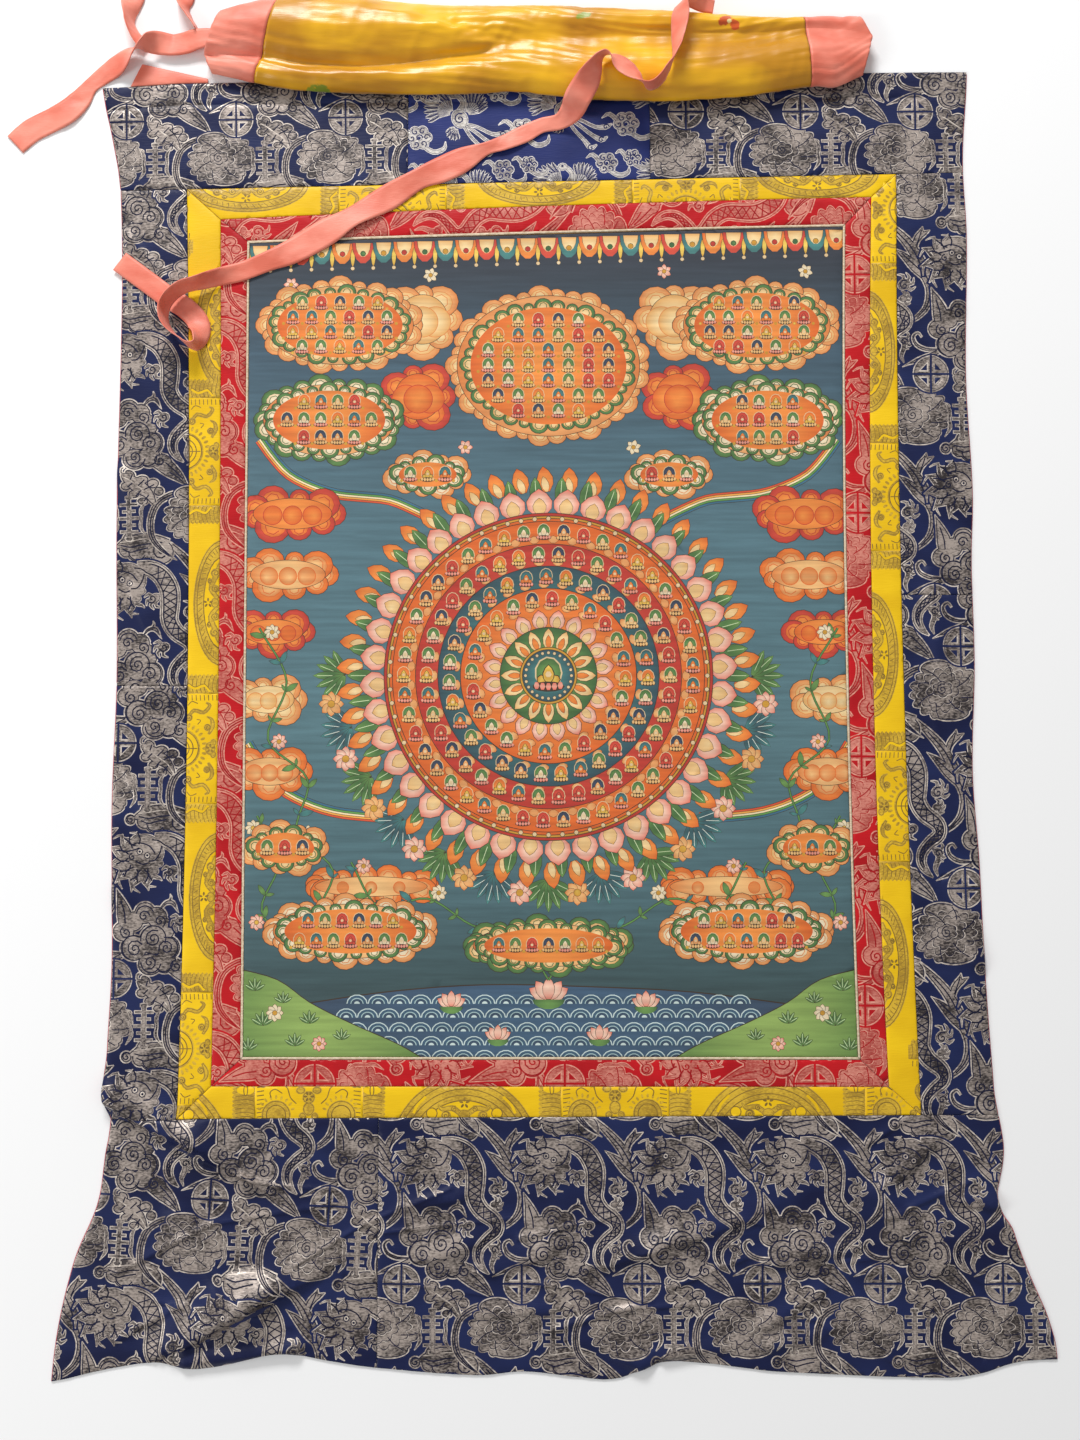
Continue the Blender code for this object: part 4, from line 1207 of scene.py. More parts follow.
def cloth(name, node, shapes, materials, slot, lift, spacing=9, thick=CLOTH, back=None, hem=None,
          keys=None, folds=()):
    """A thin closed sheet with a drawing cut into its face, lifted by lift(x, y)."""
    outline = outline_of(node)
    keys = [yarn for yarn, _ in shapes] if keys is None else keys
    flat, triangles, over = cut(outline, shapes, loose_points(outline, spacing, folds), keys)
    used, triangles = np.unique(triangles, return_inverse=True)
    triangles = triangles.reshape(-1, 3)
    flat = flat[used]
    ring = border_loop(triangles.tolist())
    below, under, _ = cut(flat[ring], [], grid_points(outline, UNDER_COARSER * spacing))
    x, y = flat.T
    near = np.clip(edge_distance(flat, outline) / SEAM_REACH, 0, 1)
    top = lift(x, y) + thick - SEAM_DIP * (1 - near) ** 2
    base = UNDER_FOLLOWS * fold_height(*below.T) + ABOVE_FLOOR
    feet = nearest(below, flat[ring])
    along = tangents(flat[ring])
    outer = (along[:, 1] * np.sign(flat[ring, 0]) > HEM_FACES) & (np.abs(flat[ring, 0]) > HEM_FROM)
    outer &= hem is not None
    shown = below.copy()
    shown[feet] -= HEM_SHOWS * outer[:, None] * sideways(along)

    verts = [to_space(*p) for p in zip(x.tolist(), y.tolist(), top.tolist())]
    verts += [to_space(*p) for p in zip(*shown.T.tolist(), base.tolist())]
    count = len(flat)
    faces = [*triangles.tolist(), *(count + under[:, ::-1]).tolist()]
    sides = zip(ring, ring[1:] + ring[:1], feet, feet[1:] + feet[:1])
    faces += [(a, count + ka, count + kb, b) for a, b, ka, kb in sides]
    yarns = np.array([*(yarn for yarn, _ in shapes), 0])
    kinds = yarns[over].tolist()
    kinds += [len(materials) if back else 0] * len(under)
    kinds += [len(materials) + 1 if red else 0 for red in outer]

    materials = [*materials, *([back] if back else []), *([hem] if hem else [])]
    thing = sheet_object(name, node, verts, faces, materials)
    thing.data.polygons.foreach_set("material_index", kinds)
    bake_map(thing.data, flat, below, len(triangles), len(under), outline)
    close_gaps(thing.data)
    print(f"{name}: {len(faces)} faces, {len(shapes)} shapes")
    return thing, flat, over

# %% [markdown]
# ## Silk that has been handled
#
# No piece of silk lies quite smooth. Noise gives it soft uneven creasing, and
# about thirty finer creases, placed from the photo, run between the folds. A
# sewn line near the head closes the sleeve for a rod, and pulls the cloth down.

# %% Silk that has been handled
def rough_silk(x, y, height=0.5, size=38, seed=0):
    """Soft uneven creasing of lined silk."""
    out = np.empty(len(x))
    for k, (a, b) in enumerate(zip(x.tolist(), y.tolist())):
        here = Vector((a / size, b / size, seed))
        out[k] = (0.6 * abs(noise.noise(here)) + 0.4 * abs(noise.noise(here * 2.3)))
    return height * out


CREASES = (
    # x0, y0, x1, y1, height, reach
    (-420, -612, -330, -566, 1.8, 7), (-300, -516, -256, -550, 1.8, 5),
    (-338, -512, -266, -528, 1.3, 5), (-266, -528, -214, -534, 1.2, 5),
    (-246, -604, -180, -566, 1.6, 5), (-180, -566, -96, -532, 1.4, 5),
    (-330, -566, -216, -548, 1.2, 6), (-400, -470, -300, -520, 1.6, 7),
    (-300, -520, -176, -556, 1.2, 6), (-380, -640, -250, -664, 1.4, 7),
    (-420, -676, -352, -640, 1.8, 8), (-160, -574, -30, -560, 1.3, 5), (-160, -620, -60, -634, 1.1, 5),
    (-30, -580, 60, -560, 1.3, 6), (-20, -622, 100, -640, 1.2, 5), (0, -668, 90, -642, 1.8, 7),
    (60, -648, 190, -640, 1.4, 6), (116, -628, 200, -596, 1.3, 6), (180, -560, 262, -578, 1.2, 6),
    (236, -606, 330, -598, 1.4, 6), (246, -652, 340, -700, 1.2, 6), (296, -500, 372, -452, 1.5, 7),
    (330, -560, 424, -520, 1.5, 7), (388, -600, 452, -640, 1.4, 8), (-420, 60, -380, -40, 0.9, 9),
    (-424, -120, -384, -200, 0.9, 9), (388, 300, 416, 200, 1, 9), (380, -60, 414, -160, 1, 8),
    (384, -330, 424, -400, 1, 8), (-436, 430, -392, 380, 0.9, 9),
)
SLEEVE_LINE = ((-455, 555), (-372, 561), (-150, 563.5), (200, 568), (428, 569))
SHARP = [(x0, y0, 1.7 * h, x1, y1, 1.1 * h, reach, 0.6 * reach) for x0, y0, x1, y1, h, reach in CREASES]
STEEP = [(x0, y0, 1.2 * h0, x1, y1, 1.2 * h1, left, 0.6 * right)
         for x0, y0, h0, x1, y1, h1, left, right in FOLDS]
SHARP += [(*a, -0.9, *b, -0.9, 2.6, 2.6) for a, b in zip(SLEEVE_LINE, SLEEVE_LINE[1:])]


def mount_lift(x, y):
    height = np.maximum(fold_height(x, y, STEEP) + fold_height(x, y, SHARP), -0.8)
    return height + rough_silk(x, y, 1.1) + rough_silk(x, y, 0.4, 11, 5)


def strip_lift(x, y):
    return fold_height(x, y) + rough_silk(x, y, 0.6, 30) + rough_silk(x, y, 0.25, 9, 5)


print(len(CREASES), "creases and", len(SLEEVE_LINE) - 1, "lengths of sewn line")

# %% [markdown]
# ## The blue brocade mount
#
# The mount is pieced from dark blue silk brocade with a silver pattern, which
# repeats about every 117 mm across and 228 mm along the bolt at the panels'
# scale. Each panel was cut from the bolt at another place, so a row of the table
# says where one dragon's brow falls on it. The bright blue piece at the head has
# its own pattern of birds among clouds. A plain lining covers the back, and its
# red edge shows along the two outer sides.

# %% The blue brocade mount
BLUE_PANELS = (
    # node, where one dragon's brow is, scale across and up, turn
    ("blue_foot_right", (117, -503.1), (0.981, 0.981), 0),
    ("blue_foot_left", (-299, -423), (0.975, 0.99), -3),
    ("blue_head_left", (-298, 663), (0.94, 0.96), 1.2),
    ("blue_head_right", (285, 671), (0.985, 0.96), 0),
    ("blue_left_upper", (-430, 300.6), (0.981, 1.01), 1),
    ("blue_left_lower", (-403.5, -205.9), (0.981, 1.005), 0),
    ("blue_right_upper", (414, 402.8), (0.981, 1.01), 0),
    ("blue_right_lower", (439.1, 128.6), (0.981, 1.04), 0),
)
# plain cotton is matt, and thin lining silk hardly shines
lining = woven("plain blue cotton lining", "#20264a", "#2a315c", 20, 0.9)
red_lining = woven("red silk lining edge", "#b5424a", "#c9606a", 8, 0.8)


def panel(node, drawing, materials, slot, lift, spacing, **extra):
    """One cloth of the mount. drawing gives its shapes from its box."""
    outline = outline_of(node)
    box = (outline.min(axis=0), outline.max(axis=0))
    piece, _, _ = cloth(node + "_silk", node, drawing(box), materials, slot, lift, spacing, **extra)


lined = {"back": lining, "hem": red_lining, "folds": SHARP + STEEP}
for node, at, scale, turn in BLUE_PANELS:
    panel(node, lambda box: laid(brocade, box, at, scale, turn), BLUE, "blue", mount_lift,
          6.5 if "foot" in node else 9, **lined)
birds = bird_repeat()
print("bird repeat:", len(birds), "shapes")
panel("blue_head_middle", lambda box: laid(birds, box, (-92, 548), (0.95, 0.95), 4, (112, 88)),
      BRIGHT_BLUE, "blue", mount_lift, 9, **lined)

# %% [markdown]
# ## The red strips
#
# The same brocade in red was cut into narrow strips and mitred at the corners.
# The head and foot strips carry the pattern turned a quarter, since their
# lengths were cut along the bolt as well.

# %% The red strips
RED_STRIPS = (
    # strip, where one dragon's brow is, scale across and along, turn
    ("head", (223, 494.2), (1, 1.05), -90),
    ("right", (338.6, 20.6), (1, 1.06), 0),
    ("foot", (132.3, -404.2), (1, 1.06), 90),
    ("left", (-353.8, 75.9), (1, 1.03), 0),
)
for side, at, scale, turn in RED_STRIPS:
    panel(f"red_{side}", lambda box: laid(brocade, box, at, scale, turn), RED, "red", strip_lift, 10)

# %% [markdown]
# ## The yellow strips
#
# The yellow brocade has larger figures that the narrow strips cut in half: block
# frets, half medallions, domes and lobes by turns. Each figure stands on the
# seam that cuts it, and the table says how far along its strip.

# %% The yellow strips
SEAM_SEARCH = 9
YELLOW_STRIPS = {
    # side: turn, then each figure and its place along the strip
    "left": (90, (yellow_block, 474), (yellow_cap, 328), (yellow_block, 199.7), (yellow_cap, 45.5),
             (yellow_block, -101), (yellow_cap, -248.4), (yellow_block, -396.9)),
    "right": (-90, (yellow_block, 450), (yellow_cap, 302.9), (yellow_block, 153.4),
              (yellow_cap, -6.8), (yellow_block, -158.3), (yellow_cap, -314), (yellow_block, -462)),
    "head": (180, (yellow_cap, -309), (yellow_block, -159.3), (yellow_cap, -9.8),
             (yellow_block, 141), (yellow_cap, 275.2)),
    "foot": (0, (yellow_dome, -385), (yellow_lobes, -235.6), (yellow_dome, -82.7),
             (yellow_lobes, 65.2), (yellow_dome, 215.6), (yellow_lobes, 364)),
}


def yellow_shapes(side, box):
    """The figures of one strip, each standing on the seam that it is cut by."""
    outline = outline_of("yellow_" + side)
    upright = side in ("left", "right")
    inner = "max" if side in ("left", "head") else "min"
    turn, *figures = YELLOW_STRIPS[side]
    shapes = []
    for drawing, along in figures:
        away = np.abs(outline[:, 1 if upright else 0] - along)
        near = outline[away < SEAM_SEARCH] if away.min() < SEAM_SEARCH else outline[np.argsort(away)[:6]]
        seam = getattr(near[:, 0 if upright else 1], inner)()
        shapes += placed(drawing(), (seam, along) if upright else (along, seam), turn)
    return within(shapes, box)


for side in YELLOW_STRIPS:
    panel(f"yellow_{side}", lambda box: yellow_shapes(side, box), YELLOW, "yellow", strip_lift, 10)

# %% [markdown]
# ## The piping
#
# A folded cream silk edge, 3 mm wide, closes the seam between picture and mount.
# It needs no drawing, only its own thread colour: matt and warm, it parts the
# bright strips from the picture like a thin line of light.

# %% The piping
piping = woven("cream silk piping", "#c2ab8a", "#e0cdb2", 2, 0.55)
for side in YELLOW_STRIPS:
    cloth(f"piping_{side}_silk", f"piping_{side}", [], [piping], "piping", strip_lift, 20, PIPING)

# %% [markdown]
# ## Washes and petals
#
# The picture is painted in mineral colours on sized cotton: each shape is a wash
# from one colour at its middle to another at its edge, inside a dark contour.
# A painted drawing is a list of (wash, outline), and a plain colour is a wash
# whose two ends are the same.

# %% Washes and petals
INK = "#2b221d"
LEAF_VEIN = "#cfe0b0"
CREAM = ("#f3d9a2", "#e0a65f")
PEACH = ("#efc080", "#d97c3c")
ORANGE = ("#f0913f", "#d9601f")
SCARLET = ("#e0503c", "#b52a24")
PINK = ("#f7d9c0", "#e06a58")
GREEN = ("#6a9a50", "#2f6136")
TEAL = ("#3f8a86", "#1c4a58")
NAVY = ("#2c4a68", "#16283f")
WHITE = ("#f3e6c6", "#dfc295")
GOLD = ("#f2cf5e", "#c8902c")


def plain(colour, outline):
    return (colour, colour), outline


def washed(shape, wash, ink=INK, by=0.55):
    """A painted shape: its dark contour, then its wash."""
    return [plain(ink, shape(0)), (wash, shape(by))]


def disc(x, y, radius, wash, ink=INK, by=0.7):
    return washed(oval(x, y, radius), wash, ink, by)


def petal(x, y, length, width, turn):
    """A pointed petal that grows from this place."""
    def at(by=0):
        a = math.radians(turn)
        reach, half = length - by, max(0.5 * width - by, 0.2)
        rows = ((by, 0.35), (0.28, 0.92), (0.55, 1), (0.82, 0.6))
        one = [((share if k else 0) * reach + (by if k == 0 else 0), wide * half)
               for k, (share, wide) in enumerate(rows)]
        pts = [*one, (reach, 0), *((u, -v) for u, v in reversed(one))]
        c, s = math.cos(a), math.sin(a)
        return np.array([(x + u * c - v * s, y + u * s + v * c) for u, v in pts])
    return at


def moved(drawing, x, y, size):
    """A painted drawing set down somewhere else, at another size."""
    return placed(drawing, (x, y), 0, (size, size))


def ring(x, y, radius, count, make, turn=0):
    """count motifs round a circle, each facing outwards."""
    drawing = []
    for k in range(count):
        angle = turn + 360 * k / count
        drawing += make(*toward(x, y, radius, math.radians(angle)), angle)
    return drawing


def lotus_ring(x, y, radius, count, length, width, wash, inner, turn=0):
    """Petals side by side, each with a smaller one painted inside it."""
    def make(px, py, angle):
        root = toward(px, py, 1.5, math.radians(angle))
        return washed(petal(px, py, length, width, angle), wash) + washed(
            petal(*root, 0.62 * length, 0.52 * width, angle), inner, by=0.4)
    return ring(x, y, radius, count, make, turn)

# %% [markdown]
# ## Jewels and clouds
#
# A flaming jewel on a lotus seat, 16 mm tall, stands wherever the picture needs a
# small bright figure, in six colourings. Clouds are rims of round puffs, plain or
# with rows of jewels in front of them.

# %% Jewels and clouds
HALOES = (GREEN, TEAL, ORANGE, GREEN, NAVY, SCARLET)
FLAMES = (ORANGE, CREAM, SCARLET, PEACH, WHITE, GOLD)


def jewel(halo, flame, seat):
    drawing = washed(oval(0, 1.2, 6.4, 7.6, points=11), halo, WHITE[1], 0.7)
    for side in (-1, 1):
        drawing += washed(oval(3 * side, -1.8, 2.6, 2.4, points=7), flame, by=0.45)
    drawing += washed(petal(0, -3.6, 8.8, 5.6, 90), flame[::-1], by=0.45)
    drawing.append((WHITE, oval(0, 0.6, 1.5, points=6)()))
    drawing.append(plain(INK, oval(0, -5, 7.4, 2.4, points=11)()))
    for k in range(-2, 3):
        drawing.append((seat, oval(2.7 * k, -5 + 0.12 * k * k, 1.25, 1.8, points=6)()))
    return drawing


JEWELS = [jewel(HALOES[k % 6], FLAMES[(k * 5 + 1) % 6], PINK if k % 2 else CREAM) for k in range(6)]


def jewels_at(places, size=1, first=0):
    drawing = []
    for k, place in enumerate(places):
        drawing += moved(JEWELS[(first + 5 * k + k // 6) % 6], *place, size)
    return drawing


def puffs(x, y, rx, ry, count, size, wash, edge, start=0):
    """A rim of round puffs, each with a lighter one and a curl inside."""
    drawing = []
    for k in range(count):
        a = math.radians(start + 360 * k / count)
        px, py = toward(x, y, rx, a, ry)
        r = size * (0.86 + 0.24 * math.sin(2.3 * k + start))
        drawing += washed(oval(px, py, r, 0.9 * r, points=13), edge, by=0.6)
        drawing += washed(oval(*toward(px, py, -0.1 * r, a), 0.74 * r, 0.66 * r, points=11), wash,
                          edge[1], 0.6)
        arc = arc_points(px, py, 0.4 * r, math.degrees(a) - 120, math.degrees(a) + 90, 5)
        drawing.append(plain(edge[1], line(arc, 0.8, 1)()))
    return drawing


def puffs_round(rx, ry, spacing):
    """How many puffs this far apart go round an oval."""
    return 2 * math.pi * math.sqrt(0.5 * (rx * rx + ry * ry)) / spacing


def jewelled_cloud(x, y, rx, ry, rows, wash=CREAM, edge=PEACH, first=0):
    """A cloud with rows of jewels in front of it: rows lists how many stand in each."""
    count = int(puffs_round(rx, ry, 15))
    drawing = puffs(x, y, rx, ry, count, 12.5, wash, edge)
    drawing += washed(oval(x, y, rx + 1, ry + 1), PEACH, by=0.6)
    drawing += puffs(x, y, 0.88 * rx, 0.86 * ry, count, 9, wash, GREEN, 9)
    drawing.append((ORANGE, oval(x, y, 0.86 * rx, 0.84 * ry)()))
    step = 1.55 * rx / max(rows)
    size = min(step / 17, 1.5 * ry / len(rows) / 15.5)
    places = []
    for k, number in enumerate(rows):
        py = y + (0.5 * (len(rows) - 1) - k) * 1.52 * ry / len(rows)
        places += [(x + (j - 0.5 * (number - 1)) * step, py) for j in range(number)]
        for j in range(number + 1):
            drawing.append((GOLD, oval(x + (j - 0.5 * number) * step, py - 6 * size, 1.7, points=6)()))
    return drawing + jewels_at(places, size, first)


def cloud_bank(x, y, rx, ry, size, wash, edge):
    """A plain bank of cloud with large puffs."""
    inner = []
    for k in (-1, 1, 0):
        inner += disc(x + 0.5 * k * rx, y - 0.1 * ry, 0.62 * ry, wash, edge[1], 0.6)
    count = round(puffs_round(rx, ry, 1.2 * size))
    return puffs(x, y, rx, ry, count, size, wash, edge) + washed(oval(x, y, rx, ry), wash) + inner

# %% [markdown]
# ## Flowers, vines and rainbows
#
# Every flower and leaf is built from the one petal. A vine is a curved stem with
# leaves on both sides, and a rainbow is five lines of paint side by side.

# %% Flowers, vines and rainbows
RAINBOW = ("#d9502f", "#f0a94a", "#f6e2b4", "#5a9c4c", "#2a6a86")


def blossom(x, y, size, wash=PINK, heart=GOLD, petals=8, turn=0):
    drawing = []
    for k in range(petals):
        drawing += washed(petal(x, y, size, 0.72 * size, turn + 360 * k / petals), wash, by=0.4)
    return drawing + washed(oval(x, y, 0.3 * size, points=9), heart, by=0.35)


def leaf_spray(x, y, size, turn, count=7, spread=150, wash=GREEN, vein=LEAF_VEIN):
    drawing = []
    for k in range(count):
        angle = turn + spread * (k / (count - 1) - 0.5)
        reach = size * (1 - 0.22 * abs(k / (count - 1) - 0.5))
        a = math.radians(angle)
        drawing += washed(petal(x, y, reach, 0.3 * size, angle), wash[::-1], by=0.4)
        ends = [toward(x, y, 0.2 * reach, a), toward(x, y, 0.86 * reach, a)]
        drawing.append(plain(vein, line(ends, 0.5, 1)()))
    return drawing


def vine(points, leaf, hand):
    """A stem with leaves on both sides and a blossom at every fourth place."""
    stem = smooth([(x, y, 1) for x, y in points], 6)
    drawing = [plain(colour, band([(x, y, width) for x, y in points], 6)())
               for colour, width in ((INK, 2.4), ("#4f8c46", 1.4))]
    for k in range(2, len(stem) - 1, 3):
        x, y = stem[k, :2]
        ahead = math.degrees(math.atan2(*(stem[k + 1] - stem[k - 1])[1::-1]))
        for side in (-1, 1):
            size = leaf * (0.8 + 0.3 * math.sin(1.7 * k + side))
            turn = ahead + side * (48 + 10 * math.sin(k))
            drawing += washed(petal(x, y, size, 0.42 * size, turn), GREEN if (k // 3) % 3 else TEAL, by=0.4)
        if (k // 3) % 4 == 1:
            at = toward(x, y, 9, math.radians(ahead + 90 * hand))
            drawing += blossom(*at, 8.5, PINK if (k // 3) % 8 == 1 else WHITE)
    return drawing


def rainbow(points, width=2.1):
    """Five bands of colour side by side along a curve."""
    drawing = []
    rows = smooth(points, 6)
    side = unit(sideways(np.gradient(rows, axis=0)))
    for k, colour in enumerate(RAINBOW):
        middle = rows + side * (k - 2) * width
        drawing.append(plain(INK, line(middle[::3], width + 0.7, 3)()))
        drawing.append(plain(colour, line(middle[::3], width - 0.3, 3)()))
    return drawing

# %% [markdown]
# ## The mandala, the valance and the water
#
# The mandala is painted from its outermost petals inwards, so that each ring
# covers the roots of the last. The valance is a row of swags with tassels
# between them. Waves are rows of half ovals, each row set off by half a wave.

# %% The mandala, the valance and the water
JEWEL_RINGS = (
    # radius, jewels, wash, first colouring
    (145, 45, ORANGE, 3), (122, 38, SCARLET, 0), (99.5, 31, TEAL, 2), (77, 24, ORANGE, 1),
)
SWAG = 21
SHORE = [(-310, -366), (-230, -352), (-150, -341), (-60, -335), (40, -337), (140, -342), (230, -353),
         (310, -364)]
WAVE = ((10.5, "#c9dcd8"), (9.4, "#2a5570"), (6.6, "#a8c6c6"), (5.6, "#214560"), (2.8, "#c9dcd8"))
HILL = ((312, -318), (268, -330), (236, -352), (196, -372), (150, -392), (118, -410))
TUFTS = (
    # x, y, size
    (290, -340, 9), (262, -352, 8), (236, -372, 9), (204, -388, 8), (282, -374, 10),
    (250, -394, 9), (296, -398, 9),
)
LOTUSES = ((-96, -352, 13), (0, -345, 18), (96, -352, 13), (-50, -384, 12), (50, -384, 12))


def flame_petal(x, y, angle):
    return washed(petal(x, y, 27, 17, angle + 9), ORANGE) + washed(
        petal(x, y, 17, 8, angle + 14), CREAM, by=0.4)


def leaf_petal(x, y, angle):
    a = math.radians(angle)
    vein = line([toward(x, y, 8, a), toward(x, y, 25, a)], 0.6, 1)
    return washed(petal(x, y, 29, 13, angle), GREEN[::-1]) + [plain(LEAF_VEIN, vein())]


def painted_mandala(x, y):
    drawing = ring(x, y, 186, 50, flame_petal, 4)
    drawing += ring(x, y, 173, 46, leaf_petal)
    drawing += lotus_ring(x, y, 161, 40, 29, 27, PINK, CREAM, 3)
    drawing += disc(x, y, 165, SCARLET) + disc(x, y, 162, GOLD) + disc(x, y, 159.5, ORANGE)
    drawing += ring(x, y, 159, 72, lambda px, py, a: disc(px, py, 2.6, WHITE, by=0.5))
    for radius, count, wash, first in JEWEL_RINGS:
        drawing += disc(x, y, radius + 11.5, wash) + ring(
            x, y, radius - 11, count, lambda px, py, a: washed(petal(px, py, 8, 11, a), PEACH, by=0.4))
        places = [toward(x, y, radius, 2 * math.pi * k / count + first) for k in range(count)]
        drawing += jewels_at(places, 1.06, first)
    drawing += lotus_ring(x, y, 46, 20, 21, 16, PINK, CREAM, 9)
    drawing += disc(x, y, 49, GREEN) + lotus_ring(x, y, 26, 16, 22, 12, CREAM, ORANGE)
    drawing += disc(x, y, 29, GOLD) + disc(x, y, 26.5, TEAL)
    drawing += ring(x, y, 23, 24, lambda px, py, a: disc(px, py, 1.9, WHITE, by=0.45))
    return drawing + moved(jewel(GREEN, GOLD, PINK), x, y, 2.2)


def valance():
    """A row of jewelled swags along the head, which slants a little."""
    drawing = []
    for k in range(-15, 16):
        x, y = SWAG * k, 424 + 0.029 * SWAG * k - 3
        drawing += washed(half_oval(x, y, 11.5, -21), (SCARLET, TEAL, ORANGE)[k % 3])
        drawing += washed(half_oval(x, y, 8, -14), CREAM, by=0.5)
        drawing += disc(x, y - 11, 3, (GREEN, GOLD, SCARLET)[k % 3], by=0.45)
        drawing += washed(petal(x + 0.5 * SWAG, y - 6, 19, 5, -90), GOLD, by=0.45)
        drawing += disc(x + 0.5 * SWAG, y - 26, 2.3, WHITE, by=0.4)
    rod = [(-310, 420), (310, 438)]
    return drawing + [plain(INK, line(rod, 9, 1)()), plain(GOLD[1], line(rod, 7.4, 1)())]


def water():
    """Hills at both sides of a sheet of water with rows of waves and lotus flowers."""
    bed = [(310, -412), (-310, -412)]
    drawing = [plain(INK, np.vstack((smooth(SHORE, 4) + (0, 1.2), bed))),
               (("#2f5876", "#1a3048"), np.vstack((smooth(SHORE, 4), bed)))]
    for row in range(5):
        y = -347 - 13.5 * row
        for k in range(-14, 15):
            x = 21 * k + (10.5 if row % 2 else 0)
            if abs(x) > 190 + 24 * row:
                continue
            for radius, colour in WAVE:
                drawing.append(plain(colour, half_oval(x, y - 6, radius, 0.86 * radius)()))
    for side in (-1, 1):
        hill = np.vstack((smooth([(side * x, y) for x, y in HILL], 4), [(side * 312, -412)]))
        drawing += [plain(INK, hill + (0, 1)), (("#8fae5c", "#4c7a3c"), hill)]
        for x, y, size in TUFTS:
            drawing += leaf_spray(side * x, y, size * 1.5, 90, 5, 120)
        drawing += blossom(side * 270, -362, 9, WHITE) + blossom(side * 226, -392, 8, PINK)
    for x, y, size in LOTUSES:
        for turn in (150, 30, 125, 55, 90):
            drawing += washed(petal(x, y - 4, size * 1.25, size * 0.7, turn), PINK, by=0.5)
        drawing += washed(half_oval(x, y - 4, size * 0.9, -size * 0.5), GREEN, by=0.5)
    return drawing

# %% [markdown]
# ## The whole painting
#
# The painting is put together from its far things to its near ones. Whatever
# comes in pairs is listed once, for the right side, and drawn on both.

# %% The whole painting
MANDALA = (0, -28)
RAINBOWS = (
    ((292, 212), (262, 176), (214, 156), (160, 150), (112, 128)),
    ((300, -96), (268, -140), (214, -164), (150, -170)),
)
LOOSE_BLOSSOMS = (
    (-262, 372), (-120, 382), (118, 386), (262, 386), (-282, 330), (284, 338), (-150, 260), (152, 262),
    (-84, 204), (86, 204), (-236, 62), (238, 66), (-214, -232), (216, -230),
)
FAR_BANKS = (
    # x, y, half width, half height, puff size, wash, edge
    (128, 336, 26, 26, 18, CREAM, PEACH), (132, 256, 24, 24, 17, ORANGE, SCARLET),
)
BANKS = (
    (258, 136, 40, 16, 17, ORANGE, SCARLET), (262, 74, 38, 15, 16, PEACH, ORANGE),
    (276, 16, 30, 13, 15, ORANGE, SCARLET), (280, -52, 26, 14, 16, CREAM, PEACH),
    (278, -124, 30, 14, 16, PEACH, ORANGE), (176, -238, 56, 10, 14, PEACH, ORANGE),
)
UPPER_CLOUDS = (
    # x, y, half width, half height, jewels in each row, wash, edge, first colouring
    (212, 330, 74, 40, (5, 6, 6, 5), CREAM, PEACH, 1), (222, 232, 66, 36, (4, 6, 4), WHITE, GREEN, 3),
)
LOWER_CLOUDS = (
    (262, -200, 34, 18, (3,), CREAM, PEACH, 1), (122, 176, 34, 15, (3,), WHITE, PEACH, 4),
)
VINES = (
    # points, leaf, the side on which it flowers
    (((196, -300), (228, -268), (214, -222), (250, -184), (240, -132), (280, -92), (262, -34), (290, 20)),
     14, 1),
    (((250, -300), (284, -262), (268, -214), (290, -168)), 12, -1),
)
FRONT_VINE = ((0, -330), (26, -292), (76, -276), (120, -250), (168, -258), (196, -214))


def on_side(side, points):
    return [(side * x, y) for x, y in points]


def painted_scene():
    """The whole painting, far things first."""
    drawing = []
    for side in (-1, 1):
        for bow in RAINBOWS:
            drawing += rainbow(on_side(side, bow))
    for k, (x, y) in enumerate(LOOSE_BLOSSOMS):
        drawing += blossom(x, y, 8, WHITE if k % 2 else PINK, GOLD, 6, 15 * k)
    for side in (-1, 1):
        for x, *bank in FAR_BANKS:
            drawing += cloud_bank(side * x, *bank)
    drawing += jewelled_cloud(0, 288, 92, 72, (4, 6, 7, 7, 7, 6, 4), CREAM, PEACH)
    for side in (-1, 1):
        for x, *cloud_row, first in UPPER_CLOUDS:
            drawing += jewelled_cloud(side * x, *cloud_row, side + first)
        for x, *bank in BANKS:
            drawing += cloud_bank(side * x, *bank)
        for points, leaf, hand in VINES:
            drawing += vine(on_side(side, points), leaf, side * hand)
        for x, *cloud_row, first in LOWER_CLOUDS:
            drawing += jewelled_cloud(side * x, *cloud_row, side + first)
    drawing += water()
    x, y = MANDALA
    for k in range(13):
        angle = 180 + 15 * k
        drawing += leaf_spray(*toward(x, y, 204, math.radians(angle)), 32, angle, 7, 130,
                              TEAL if k % 2 else GREEN, "#e8efe0" if k % 2 else LEAF_VEIN)
    for k in range(12):
        at = toward(x, y, 219, math.radians(187.5 + 15 * k), 218)
        drawing += blossom(*at, 13, PINK if k % 2 else PEACH)
    for side in (-1, 1):
        drawing += vine(on_side(side, FRONT_VINE), 14, side)
        drawing += jewelled_cloud(side * 196, -282, 76, 26, (6, 7), WHITE, PEACH, side + 2)
    drawing += jewelled_cloud(0, -296, 74, 20, (7,), CREAM, GREEN, 1)
    return drawing + painted_mandala(*MANDALA) + valance()

# %% [markdown]
# ## The canvas
#
# A picture of this kind is painted on fine cotton, primed and rubbed smooth, and
# stays matt. Each corner of each face keeps its wash as a colour. The material
# adds a brown haze of age, the brush's horizontal streaks 5 mm apart, and the
# threads of the canvas, drawn at 1.2 mm where real ones are too fine to show.

